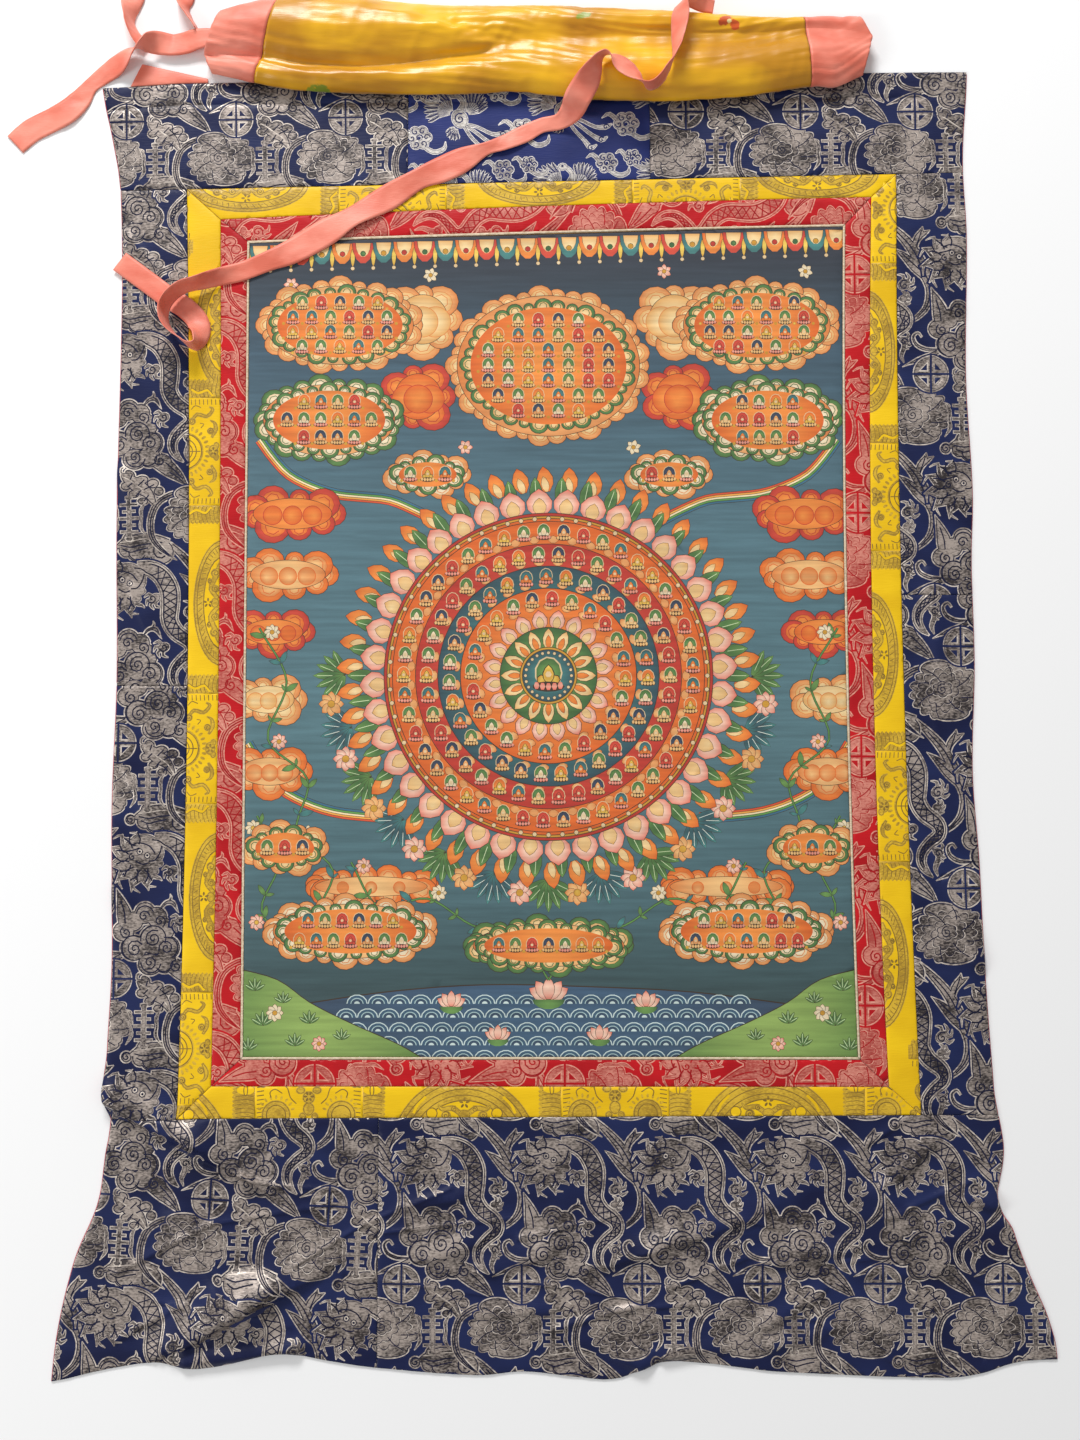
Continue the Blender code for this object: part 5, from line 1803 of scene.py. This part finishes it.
# %% The canvas
def canvas_paint():
    """Paint on cotton: the washes, canvas grain and horizontal streaks of the brush."""
    material, tree, shader = new_material("mineral paint on cotton canvas", 0.72)
    wash = add(tree, "ShaderNodeVertexColor", layer_name="wash")
    where = cloth_coordinates(tree, (1 / 90, 1 / 5, 1))
    streaks = add(tree, "ShaderNodeTexNoise", {"Vector": where}, Scale=1, Detail=4)
    share = add(tree, "ShaderNodeMapRange", {"Value": streaks.outputs["Fac"]},
                From_Min=0.3, From_Max=0.7, To_Min=0.80, To_Max=1.12)
    aged = add(tree, "ShaderNodeMix", {0: 0.07, 6: wash.outputs["Color"], 7: linear("#9a7440")},
               data_type="RGBA")
    shade = add(tree, "ShaderNodeMix", {0: 1, 6: aged.outputs[2], 7: share.outputs["Result"]},
                data_type="RGBA", blend_type="MULTIPLY")
    tree.links.new(shade.outputs[2], shader.inputs["Base Color"])
    weave_bump(tree, shader, 1.2, 0.15, 6)
    return material


GROUND_WASHES = (
    # y, colour of the bare ground there
    (430, "#16263a"), (380, "#1c3648"), (300, "#305468"), (120, "#47707e"),
    (-60, "#4b7580"), (-250, "#3d6670"), (-330, "#264c54"), (-410, "#1f3c42"),
)

# %% [markdown]
# ## Colour at every corner
#
# A wash runs from its middle to its edge by the distance from its middle. Bare
# ground takes its colour from its height in the picture: dark sky at the head,
# paler blue-green towards the middle and dark water at the foot.

# %% Colour at every corner
def wash_keys(washes):
    """One number for each shape with a wash of its own, and one for each plain colour."""
    single = sorted({wash[0] for wash, _ in washes if wash[0] == wash[1]})
    return [-1 - single.index(wash[0]) if wash[0] == wash[1] else k + 1
            for k, (wash, _) in enumerate(washes)]


def wash_corners(piece, flat, over, washes):
    """Writes each triangle corner's colour: its wash, or the bare ground's."""
    table = sorted({colour for wash in washes for colour in wash[0]})
    colours = np.array([linear(c) for c in table])
    number = {c: k for k, c in enumerate(table)}
    core = np.array([colours[number[wash[0]]] for wash, _ in washes])
    edge = np.array([colours[number[wash[1]]] for wash, _ in washes])
    middle = np.array([outline.mean(axis=0) for _, outline in washes])
    reach = np.array([np.hypot(*(outline - outline.mean(axis=0)).T).max() for _, outline in washes])
    mesh = piece.data
    owner = np.zeros(len(mesh.loops), int)
    mesh.loops.foreach_get("vertex_index", owner)
    count = 3 * len(over)
    shape = np.repeat(over, 3)
    spot = flat[owner[:count]]
    share = np.hypot(*(spot - middle[shape]).T) / reach[shape]
    out = np.ones((len(mesh.loops), 4)) * linear("#b8a684")
    painted = core[shape] + (edge[shape] - core[shape]) * np.clip(share, 0, 1)[:, None] ** 1.6
    ground_y = np.array([y for y, _ in GROUND_WASHES])[::-1]
    ground = np.array([linear(c) for _, c in GROUND_WASHES])[::-1]
    bare = np.column_stack([np.interp(spot[:, 1], ground_y, ground[:, k]) for k in range(4)])
    out[:count] = np.where((shape >= 0)[:, None], painted, bare)
    layer = mesh.color_attributes.new("wash", "FLOAT_COLOR", "CORNER")
    layer.data.foreach_set("color", out.ravel())


outline = outline_of("painting")
picture = within(painted_scene(), (outline.min(axis=0), outline.max(axis=0)))
piece, flat, over = cloth("painting_canvas", "painting", [(0, shape) for _, shape in picture],
                          [canvas_paint()], "picture", strip_lift, 12, keys=wash_keys(picture))
wash_corners(piece, flat, over, picture)
print("the picture shows", len(set(over.tolist())), "of its", len(picture), "shapes")

# %% [markdown]
# ## Smooth rows
#
# The cover and the ribbons are given as rows of numbers at places along them,
# as the solids are. One smooth curve through the rows fills in the rest.

# %% Smooth rows
def spline(rows, t):
    """The point at t along a smooth curve through the rows, one row for each unit of t."""
    last = len(rows) - 1
    k = min(max(int(t), 0), last - 1)
    t -= k
    a, b, c, d = (rows[min(max(k + step, 0), last)] for step in (-1, 0, 1, 2))
    return [
        0.5 * (2 * q + (r - p) * t + (2 * p - 5 * q + 4 * r - s) * t**2
               + (3 * q - p - 3 * r + s) * t**3)
        for p, q, r, s in zip(a, b, c, d)
    ]


def edge_at(rows, place):
    """The second column of an edge table where its first column is this place."""
    k = 0
    while k < len(rows) - 2 and rows[k + 1][0] < place:
        k += 1
    share = (place - rows[k][0]) / (rows[k + 1][0] - rows[k][0])
    ease = [r[1] for r in rows]
    before = ease[max(k - 1, 0)]
    after = ease[min(k + 2, len(rows) - 1)]
    return spline([(before,), (ease[k],), (ease[k + 1],), (after,)], 1 + share)[0]


def mix(a, b, t):
    """The row at share t of the way from a to b."""
    return tuple(p + (q - p) * t for p, q in zip(a, b))

# %% [markdown]
# ## The gathered cover
#
# The cover is a thin yellow satin that is let down over the picture and is
# gathered into two long rolls here. Each row gives the near roll, the valley and
# the far roll at one place, with their heights. A lap of the left half lies over
# the right, up to a slanting edge.

# %% The gathered cover
SILK = 1.2
RIBBON = 1
GAP = 0.3
HEAD_EDGE = ((-458, 579), (-380, 583.5), (-150, 588), (200, 593.5), (430.5, 596))
COVER = (
    # x and y of the near roll, the valley and the far roll, then their three heights
    (-344, 590, -352, 609, -333, 659, 15, 13, 17), (-322, 586, -327, 609, -304, 668, 17, 14, 21),
    (-301, 581, -292, 607, -274, 672, 19, 14, 23), (-255, 573, -253, 600, -242, 674, 21, 13.5, 24),
    (-203, 570, -202, 598, -201, 673, 22, 13, 24), (-152, 568, -151, 600, -152, 668, 22, 13, 23),
    (-109, 568, -108, 606, -109, 664, 22, 13.5, 22), (-70, 569, -70, 612, -70, 664, 22, 14, 21),
    (-39, 570, -39, 620, -39, 664, 22, 14, 20), (-3, 567, -3, 624, -3, 664, 24, 15, 20),
    (43, 561, 43, 626, 43, 662, 26, 15, 21), (94, 559.5, 94, 627, 94, 659, 27, 15, 21),
    (145, 560, 145, 628, 145, 656, 27, 15, 21), (197, 564, 196, 629, 196, 652, 27, 15, 20),
    (238, 570, 231, 631, 229, 650, 26, 15, 19), (268.5, 575, 263, 634, 261, 650, 25, 15, 18),
    (293, 575, 297, 634, 289, 652, 22, 14, 16), (322, 588, 332, 628, 317, 654, 17, 13, 14),
)
COVER_SEAM_LEFT = 2
COVER_SEAM_RIGHT = 15
LOBE = ((-155, 653), (-42, 615))
LOBE_HEIGHT = 6
LOBE_STEP = 9
OVER_MOUNT = 5.4
LAYER_PITCH = 3.2
TUCK = 0.30
SLOPE_START = 4
SLOPE_END = 26
INNER_MARGIN = 5


def eased(value):
    """0 up to 0, 1 from 1, and a smooth step between."""
    share = min(max(value, 0), 1)
    return share * share * (3 - 2 * share)


def lobe_height(x, y):
    """The left half of the cover lies on top of the right, up to a slanting edge."""
    (x0, y0), (x1, y1) = LOBE
    length = math.hypot(x1 - x0, y1 - y0)
    across = ((y - y0) * (x1 - x0) - (x - x0) * (y1 - y0)) / length
    share = min(max(0.5 - across / LOBE_STEP, 0), 1)
    fade = min(max((x1 + LOBE_STEP - x) / (3 * LOBE_STEP), 0), 1)
    return LOBE_HEIGHT * share * share * (3 - 2 * share) * fade


def cover_base(x, y):
    """Middle of the lowest layer: over the head edge of the mount, then down to the surface."""
    past = y - edge_at(HEAD_EDGE, x)
    share = eased((past - SLOPE_START) / (SLOPE_END - SLOPE_START))
    return OVER_MOUNT + (0.5 * SILK - OVER_MOUNT) * share

# %% [markdown]
# ## A section through the cover
#
# The cloth is tucked under at the near edge, rises over the near roll, sinks
# into the valley, rises over the far roll, and comes back inside in three layers
# 3.2 mm apart. A section lists points along that path. w is the place across the
# cover, 0 at its near edge and 1 at its far edge.

# %% A section through the cover
def cover_section(row):
    """Points across the folded cover at one station, from the tucked near edge inwards."""
    near, valley, far = row[0:2], row[2:4], row[4:6]
    near_top, valley_top, far_top = row[6:9]

    def plan(w):
        return mix(near, valley, 2 * w) if w < 0.5 else mix(valley, far, 2 * w - 1)

    def base(w):
        return cover_base(*plan(w))

    def lobe(w):
        return lobe_height(*plan(w))

    points = [(*plan(w), base(w)) for w in (TUCK, 0.16, 0.05)]

    def inside(w, layers):
        points.append((*plan(w), base(w) + layers * LAYER_PITCH))

    for angle in (20, 45, 68, 90):
        w = 0.25 * (1 - math.cos(math.radians(angle)))
        points.append((*plan(w), base(w) + (near_top - base(w)) * math.sin(math.radians(angle))))
    for step in (1, 2, 3, 4):
        w = 0.25 + 0.0625 * step
        ease = 0.5 * (1 + math.cos(math.pi * step / 4))
        points.append((*plan(w), valley_top + (near_top - valley_top) * ease))
    for step in (1, 2, 3, 4):
        w = 0.5 + 0.0625 * step
        ease = 0.5 * (1 - math.cos(math.pi * step / 4))
        points.append((*plan(w), valley_top + (far_top - valley_top) * ease + lobe(w)))
    for angle in (22, 45, 70):
        w = 0.75 + 0.25 * math.sin(math.radians(angle))
        rise = math.cos(math.radians(angle))
        points.append((*plan(w), base(w) + (far_top + lobe(w) - base(w)) * rise))
    points.append((*plan(1), base(1) + 1.5))

    inner_far = max(1 - INNER_MARGIN / (2 * math.dist(valley, far)), 0.62)
    inner_near = INNER_MARGIN / (2 * math.dist(near, valley)) + 0.03
    for t in (0, 0.35, 0.7, 1):
        inside(0.975 + (0.42 - 0.975) * t, 0)
    inside(0.395, 0.5)
    for t in (0, 0.35, 0.7, 1):
        inside(0.42 + (inner_far - 0.05 - 0.42) * t, 1)
    inside(inner_far, 1.5)
    for t in (0, 0.3, 0.6, 1):
        inside(inner_far - 0.05 + (inner_near - inner_far + 0.05) * t, 2)
    return points

# %% [markdown]
# ## The ribbons
#
# The ribbons are salmon silk, one millimetre thick. Each row is a place on the
# ribbon's middle line, how far the ribbon is turned about its own length there,
# in degrees, and its width. The rows follow the solids' rows.

# %% The ribbons
RIBBONS = {
    "ribbon_long": (
        # x, y, z, roll, width
        (170, 661.5, 8, 0, 14), (158, 663.5, 12, 20, 17), (146, 663, 22, 60, 18),
        (136, 656, 31, 110, 20), (133.5, 642, 32.5, 140, 21), (132, 625, 32, 130, 21),
        (130, 606, 37, 112, 20), (126, 592, 40, 95, 18), (117.5, 577, 39, 82, 20),
        (110.5, 568.5, 37.5, 84, 21), (102, 564.5, 37.5, 92, 22), (93.5, 568.5, 38, 112, 23),
        (85, 576.5, 37.5, 138, 25), (74.5, 586.5, 37, 146, 25), (65.5, 594, 38.5, 126, 22),
        (57.5, 596.5, 40, 100, 20), (51, 592, 39.5, 76, 20), (46, 583.5, 37, 48, 22),
        (38.5, 571, 31, 18, 26), (30, 558, 26, 8, 27), (23, 548, 15, 8, 24), (11, 541, 6.5, 14, 16),
        (-7, 538, 4.2, 4, 15), (-25, 529, 3.6, 0, 18), (-45, 520, 4.4, -6, 16),
        (-64, 513, 5.2, 14, 13), (-88, 502, 3.4, 0, 26), (-109, 492, 3.4, 0, 27),
        (-133, 481, 5.2, 10, 21), (-165, 462, 3, 0, 27), (-200, 442, 5, -10, 22),
        (-225, 427, 3.7, 0, 28), (-259, 407, 3.7, 0, 26), (-284, 396, 5, 10, 20),
        (-312, 385, 4.2, 6, 19), (-336, 377.5, 8.5, 38, 18), (-354, 370, 14.5, 66, 20),
        (-369, 365, 16, 74, 22), (-381, 356, 16.5, 74, 22), (-388, 343.5, 16.5, 74, 22),
        (-387, 330, 16.5, 76, 22), (-380, 319, 16.5, 80, 22), (-370, 311, 16, 86, 22),
        (-362.5, 305.5, 15, 92, 22), (-356, 305.5, 14.5, 98, 22), (-353, 313, 12.5, 118, 22),
        (-353.5, 325, 7.2, 156, 22), (-358, 336, 3.6, 176, 22), (-370, 348, 3, 180, 22),
        (-386, 358, 2.8, 180, 22), (-406, 373, 2.8, 180, 22), (-437, 396, 2.8, 180, 22),
    ),
    "ribbon_left": (
        (-336, 629, 8.8, 0, 18), (-349, 629, 8.8, 0, 19), (-361, 627.5, 8.2, 4, 21),
        (-373, 624.5, 6, 0, 23), (-386, 623, 5, -4, 23), (-400, 624, 7, 14, 23),
        (-409.5, 621.5, 13, 55, 21), (-417, 616.5, 15.5, 96, 20), (-428, 610.5, 12, 140, 23),
        (-443.5, 601.5, 4, 172, 22), (-458.5, 591.5, 1.2, 180, 18), (-471, 581, 0.9, 180, 15.5),
        (-482, 566, 1, 180, 22.5), (-495, 553, 2.2, 180, 25), (-512, 544, 0.9, 180, 25),
        (-531.5, 533.5, 0.6, 180, 25), (-547, 519.5, 0.6, 180, 24),
    ),
    "ribbon_rise": (
        (-425, 691, 0.6, 0, 22), (-428, 675, 0.6, 10, 22), (-429.5, 663, 0.6, 42, 21),
        (-430.5, 652, 0.6, 64, 18), (-428.5, 641.5, 0.6, 64, 17), (-423, 631.5, 0.6, 44, 14),
        (-414, 622.5, 3.6, 8, 12),
    ),
    "ribbon_small": (
        (-373, 692, 0.6, 0, 20), (-374.5, 674, 0.6, 10, 18), (-374.5, 663, 0.6, 58, 16),
        (-370.5, 654, 0.6, 72, 15), (-365, 645.5, 0.6, 76, 14), (-361.5, 638.7, 0.6, 78, 13),
    ),
}
print(len(RIBBONS), "ribbons,", sum(map(len, RIBBONS.values())), "rows")

# %% [markdown]
# ## Satin and ribbon silk
#
# Satin shows hardly any thread. Its long floats give broad soft highlights that
# run with the folds. Noise in long streaks along the gathers mixes deep amber and
# bright yellow, painted shade and painted highlight at random places, so its two
# tones are far apart; it is the glossiest cloth here. The small printed flowers
# are ovals with ragged edges, drawn by the material from a table of places. The
# ribbon silk is matt, with a pale sheen at a slant.

# %% Satin and ribbon silk
PRINTS = (
    # x, y, half width, half height, turn, colour of a small motif printed on the cover
    (-244, 569.5, 9, 5, 25, "#7d9420"),
    (-229, 570, 10, 4.6, -18, "#6d8a1c"),
    (180, 642, 7.5, 5, 30, "#c23a1a"),
    (190, 637.5, 6, 4.6, -35, "#d2481e"),
    (184.5, 640.5, 2.6, 2.2, 0, "#f0e0a0"),
    (36, 646, 8, 4, 15, "#7d9420"),
)


def printed_satin():
    """Yellow satin with the small flowers and leaves printed on it."""
    material, tree, shader = new_material("yellow silk satin cover", 0.32, sheen=0.1)
    # deep amber and bright yellow in long streaks: painted shade and painted highlight along the gathers
    colour = two_tone(tree, shader, "#c08303", "#f2b60e", 36, (0.2, 1, 1), 70)
    place = add(tree, "ShaderNodeTexCoord").outputs["Object"]
    ragged = add(tree, "ShaderNodeTexNoise", {"Vector": cloth_coordinates(tree, (0.25, 0.25, 0.25))},
                 Scale=1)
    for x, y, wide, tall, turn, ink in PRINTS:
        inside = add(tree, "ShaderNodeMapping", {"Vector": place}, vector_type="TEXTURE",
                     Location=to_space(x, y, 0), Rotation=(0, 0, math.radians(turn)),
                     Scale=(wide * MM, tall * MM, 1000))
        reach = add(tree, "ShaderNodeVectorMath", {0: inside.outputs[0]}, operation="LENGTH")
        edge = add(tree, "ShaderNodeMath", {0: reach.outputs["Value"], 1: ragged.outputs["Fac"]})
        share = add(tree, "ShaderNodeMapRange", {"Value": edge.outputs[0]},
                    From_Min=1.3, From_Max=1.5, To_Min=0.9, To_Max=0)
        colour = add(tree, "ShaderNodeMix", {0: share.outputs["Result"], 6: colour, 7: linear(ink)},
                     data_type="RGBA").outputs[2]
    tree.links.new(colour, shader.inputs["Base Color"])
    weave_bump(tree, shader, 0.8, 0.3, 0.3)
    return material


SILKS = {
    "cover": printed_satin(),
    "ribbon": woven("salmon silk ribbon", "#dd6c54", "#f08e78", 20, 0.5, sheen=0.2, patch=70,
                    pitch=0.9),
}

# %% [markdown]
# ## Sheets from a grid
#
# A folded cloth is a grid of points along and across it. Long low waves pushed
# out along its normals are the fine gathers that a satin falls into. Two copies
# of the grid, half the cloth's thickness above and below it, and a rim between
# them close the sheet.

# %% Sheets from a grid
def unit_normals(middle):
    """The unit normal at each point of a grid (along, across, 3)."""
    normal = np.cross(np.gradient(middle, axis=0), np.gradient(middle, axis=1))
    return normal / np.maximum(np.linalg.norm(normal, axis=2), 1e-9)[:, :, None]


def wrinkled(middle, *wrinkles):
    """The grid pushed out and in by rows of silk wrinkles: height, length along, width across."""
    steps = [np.linalg.norm(np.diff(middle, axis=k), axis=2) for k in (0, 1)]
    u = np.pad(np.cumsum(steps[0], axis=0), ((1, 0), (0, 0)))
    v = np.pad(np.cumsum(steps[1], axis=1), ((0, 0), (1, 0)))
    rise = np.zeros(u.shape)
    for k, (height, length, width) in enumerate(wrinkles):
        spots = zip((u / length).ravel().tolist(), (v / width).ravel().tolist())
        rise += height * np.array([0.4 - 2 * abs(noise.noise(Vector((a, b, 3.7 * k))))
                                   for a, b in spots]).reshape(u.shape)
    return middle + unit_normals(middle) * rise[:, :, None]


def unrolled_map(mesh, m, n, edges):
    """The unrolled sheet as its bake map: the face, the back and the edge one above the other."""
    layer = mesh.uv_layers.new(name="OFBake")
    owner = np.zeros(len(mesh.loops), int)
    mesh.loops.foreach_get("vertex_index", owner)
    along, across = np.divmod(owner % (m * n), n)
    across = across / (n - 1)
    uv = np.column_stack((0.005 + 0.99 * along / (m - 1),
                          np.where(owner < m * n, 0.01 + 0.6 * across, 0.64 + 0.3 * across)))
    for k in range(edges):
        a, b = 0.005 + 0.99 * k / edges, 0.005 + 0.99 * (k + 1) / edges
        first = len(owner) - 4 * (edges - k)
        uv[first:first + 4] = ((a, 0.97), (b, 0.97), (b, 0.99), (a, 0.99))
    layer.data.foreach_set("uv", uv.ravel())


def folded(name, node, middle, thick, material):
    """A closed sheet of even thickness round a grid of points (along, across, 3)."""
    normal = unit_normals(middle)
    m, n = middle.shape[:2]
    verts = np.vstack([(middle + 0.5 * thick * normal).reshape(-1, 3),
                       (middle - 0.5 * thick * normal).reshape(-1, 3)])
    verts[:, 2] = np.maximum(verts[:, 2], ABOVE_FLOOR)
    index = np.arange(m * n).reshape(m, n)
    a, b, c, d = index[:-1, :-1], index[1:, :-1], index[1:, 1:], index[:-1, 1:]
    tops = np.stack([a, b, c, d], axis=-1).reshape(-1, 4)
    ring = [*index[:-1, 0], *index[-1, :-1], *index[:0:-1, -1], *index[0, :0:-1]]
    faces = [*tops.tolist(), *(m * n + tops[:, ::-1]).tolist()]
    faces += [(int(q), int(p), int(m * n + p), int(m * n + q)) for p, q in zip(ring, ring[1:] + ring[:1])]
    thing = sheet_object(name, node, [to_space(*v) for v in verts.tolist()], faces, [material])
    unrolled_map(thing.data, m, n, len(ring))

# %% [markdown]
# ## Laying the cover and the ribbons
#
# The cover is cut at its two seams, where salmon bands take over. A ribbon's
# grid stands across its run at every station, turned by its roll, and never
# sinks into what it lies on. One more ribbon is tucked flat behind the head.

# %% Laying the cover and the ribbons
def cover_grid(first, last, step=3, finer=4):
    """Sections every 3 mm along the cover, with four steps from one point of a section to the next."""
    length = sum(math.dist(COVER[k][2:4], COVER[k + 1][2:4]) for k in range(first, last))
    margin = GAP / length * (last - first)
    stations = max(4, round(length / step))
    rows = []
    for k in range(stations + 1):
        t = first + margin + (last - first - 2 * margin) * k / stations
        section = cover_section(spline(COVER, t))
        count = (len(section) - 1) * finer
        rows.append([spline(section, j / finer) for j in range(count + 1)])
    return np.array(rows)


def ribbon_grid(rows, step=2.5, across=8):
    """Lines of points across a ribbon, every 2.5 mm along it."""
    last = len(rows) - 1
    length = sum(math.dist(rows[k][:3], rows[k + 1][:3]) for k in range(last))
    stations = max(last, round(length / step))
    out = []
    for k in range(stations + 1):
        t = last * k / stations
        x, y, z, roll, width = spline(rows, t)
        turn = math.radians(roll)
        z = max(z, 0.5 * (RIBBON + width * abs(math.sin(turn))))
        ahead = Vector(spline(rows, min(t + 0.05, last))[:3])
        behind = Vector(spline(rows, max(t - 0.05, 0))[:3])
        run = (ahead - behind).normalized()
        flat = run.cross(Vector((0, 0, 1))).normalized()
        side = flat * math.cos(turn) + flat.cross(run) * math.sin(turn)
        out.append([(Vector((x, y, z)) + side * width * (j / across - 0.5))[:]
                    for j in range(across + 1)])
    return np.array(out)


GATHERS = ((1.1, 80, 8.5), (0.6, 16, 32))
for node, first, last, kind in (("cover_band_left", 0, COVER_SEAM_LEFT, "ribbon"),
                                ("cover", COVER_SEAM_LEFT, COVER_SEAM_RIGHT, "cover"),
                                ("cover_band_right", COVER_SEAM_RIGHT, len(COVER) - 1, "ribbon")):
    folded(node + "_silk", node, wrinkled(cover_grid(first, last), *GATHERS), SILK, SILKS[kind])
for node, rows in RIBBONS.items():
    folded(node + "_silk", node, wrinkled(ribbon_grid(rows), (0.5, 11, 30), (0.3, 40, 6)),
           RIBBON, SILKS["ribbon"])
tuck, _, _ = cloth("ribbon_tuck_silk", "ribbon_tuck", [], [SILKS["ribbon"]], "ribbon", mount_lift, 14,
                   2 * RIBBON)
outline_of("ribbon_tuck")

# %% [markdown]
# ## The stage and the light
#
# The floor is matt white paper. A large softbox beyond the head rakes over the
# folds, a weaker one at the left fills them, and a white world keeps the shadows
# soft.

# %% The stage and the light
floor_mesh = bpy.data.meshes.new("floor")
floor_mesh.from_pydata([(-4, -4, 0), (4, -4, 0), (4, 4, 0), (-4, 4, 0)], [], [(0, 1, 2, 3)])
floor = bpy.data.objects.new("floor", floor_mesh)
floor.location.z = -0.0005
bpy.context.scene.collection.objects.link(floor)
paper, tree, shader = new_material("matt white paper", 0.9)
shader.inputs["Base Color"].default_value = linear("#f4f4f4")
floor_mesh.materials.append(paper)

scene = bpy.context.scene
scene.view_settings.view_transform = "Standard"
world = bpy.data.worlds.new("studio")
world.use_nodes = True
world.node_tree.nodes["Background"].inputs["Color"].default_value = (1, 1, 1, 1)
world.node_tree.nodes["Background"].inputs["Strength"].default_value = 0.46
scene.world = world


def softbox(name, place, size, power):
    """A rectangular area light that faces the scroll."""
    light = bpy.data.lights.new(name, "AREA")
    light.shape = "RECTANGLE"
    light.size, light.size_y = size
    light.energy = power
    thing = bpy.data.objects.new(name, light)
    thing.location = place
    thing.rotation_euler = (-Vector(place)).to_track_quat("-Z", "Y").to_euler()
    scene.collection.objects.link(thing)


softbox("softbox at the head", (-0.8, 3.5, 2.3), (1.6, 1), 152)
softbox("softbox at the left", (-2.4, -0.8, 1.6), (0.9, 1.4), 26)

# %% [markdown]
# ## The camera
#
# The camera looks down almost upright, as the photographer did, from 1.55 m away.

# %% The camera
camera_data = bpy.data.cameras.new("camera")
camera_data.lens = 38.75
camera_data.sensor_width = 36
camera_data.clip_start = 0.05
camera = bpy.data.objects.new("camera", camera_data)
aim = Vector(to_space(-8.5, -72.4, 0))
tilt = math.radians(86)
camera.location = aim + 1.55 * Vector((0, -math.cos(tilt), math.sin(tilt)))
camera.rotation_euler = (aim - camera.location).to_track_quat("-Z", "Y").to_euler()
scene.collection.objects.link(camera)
scene.camera = camera
print("the camera stands", round(camera.location.z, 2), "m above the floor")
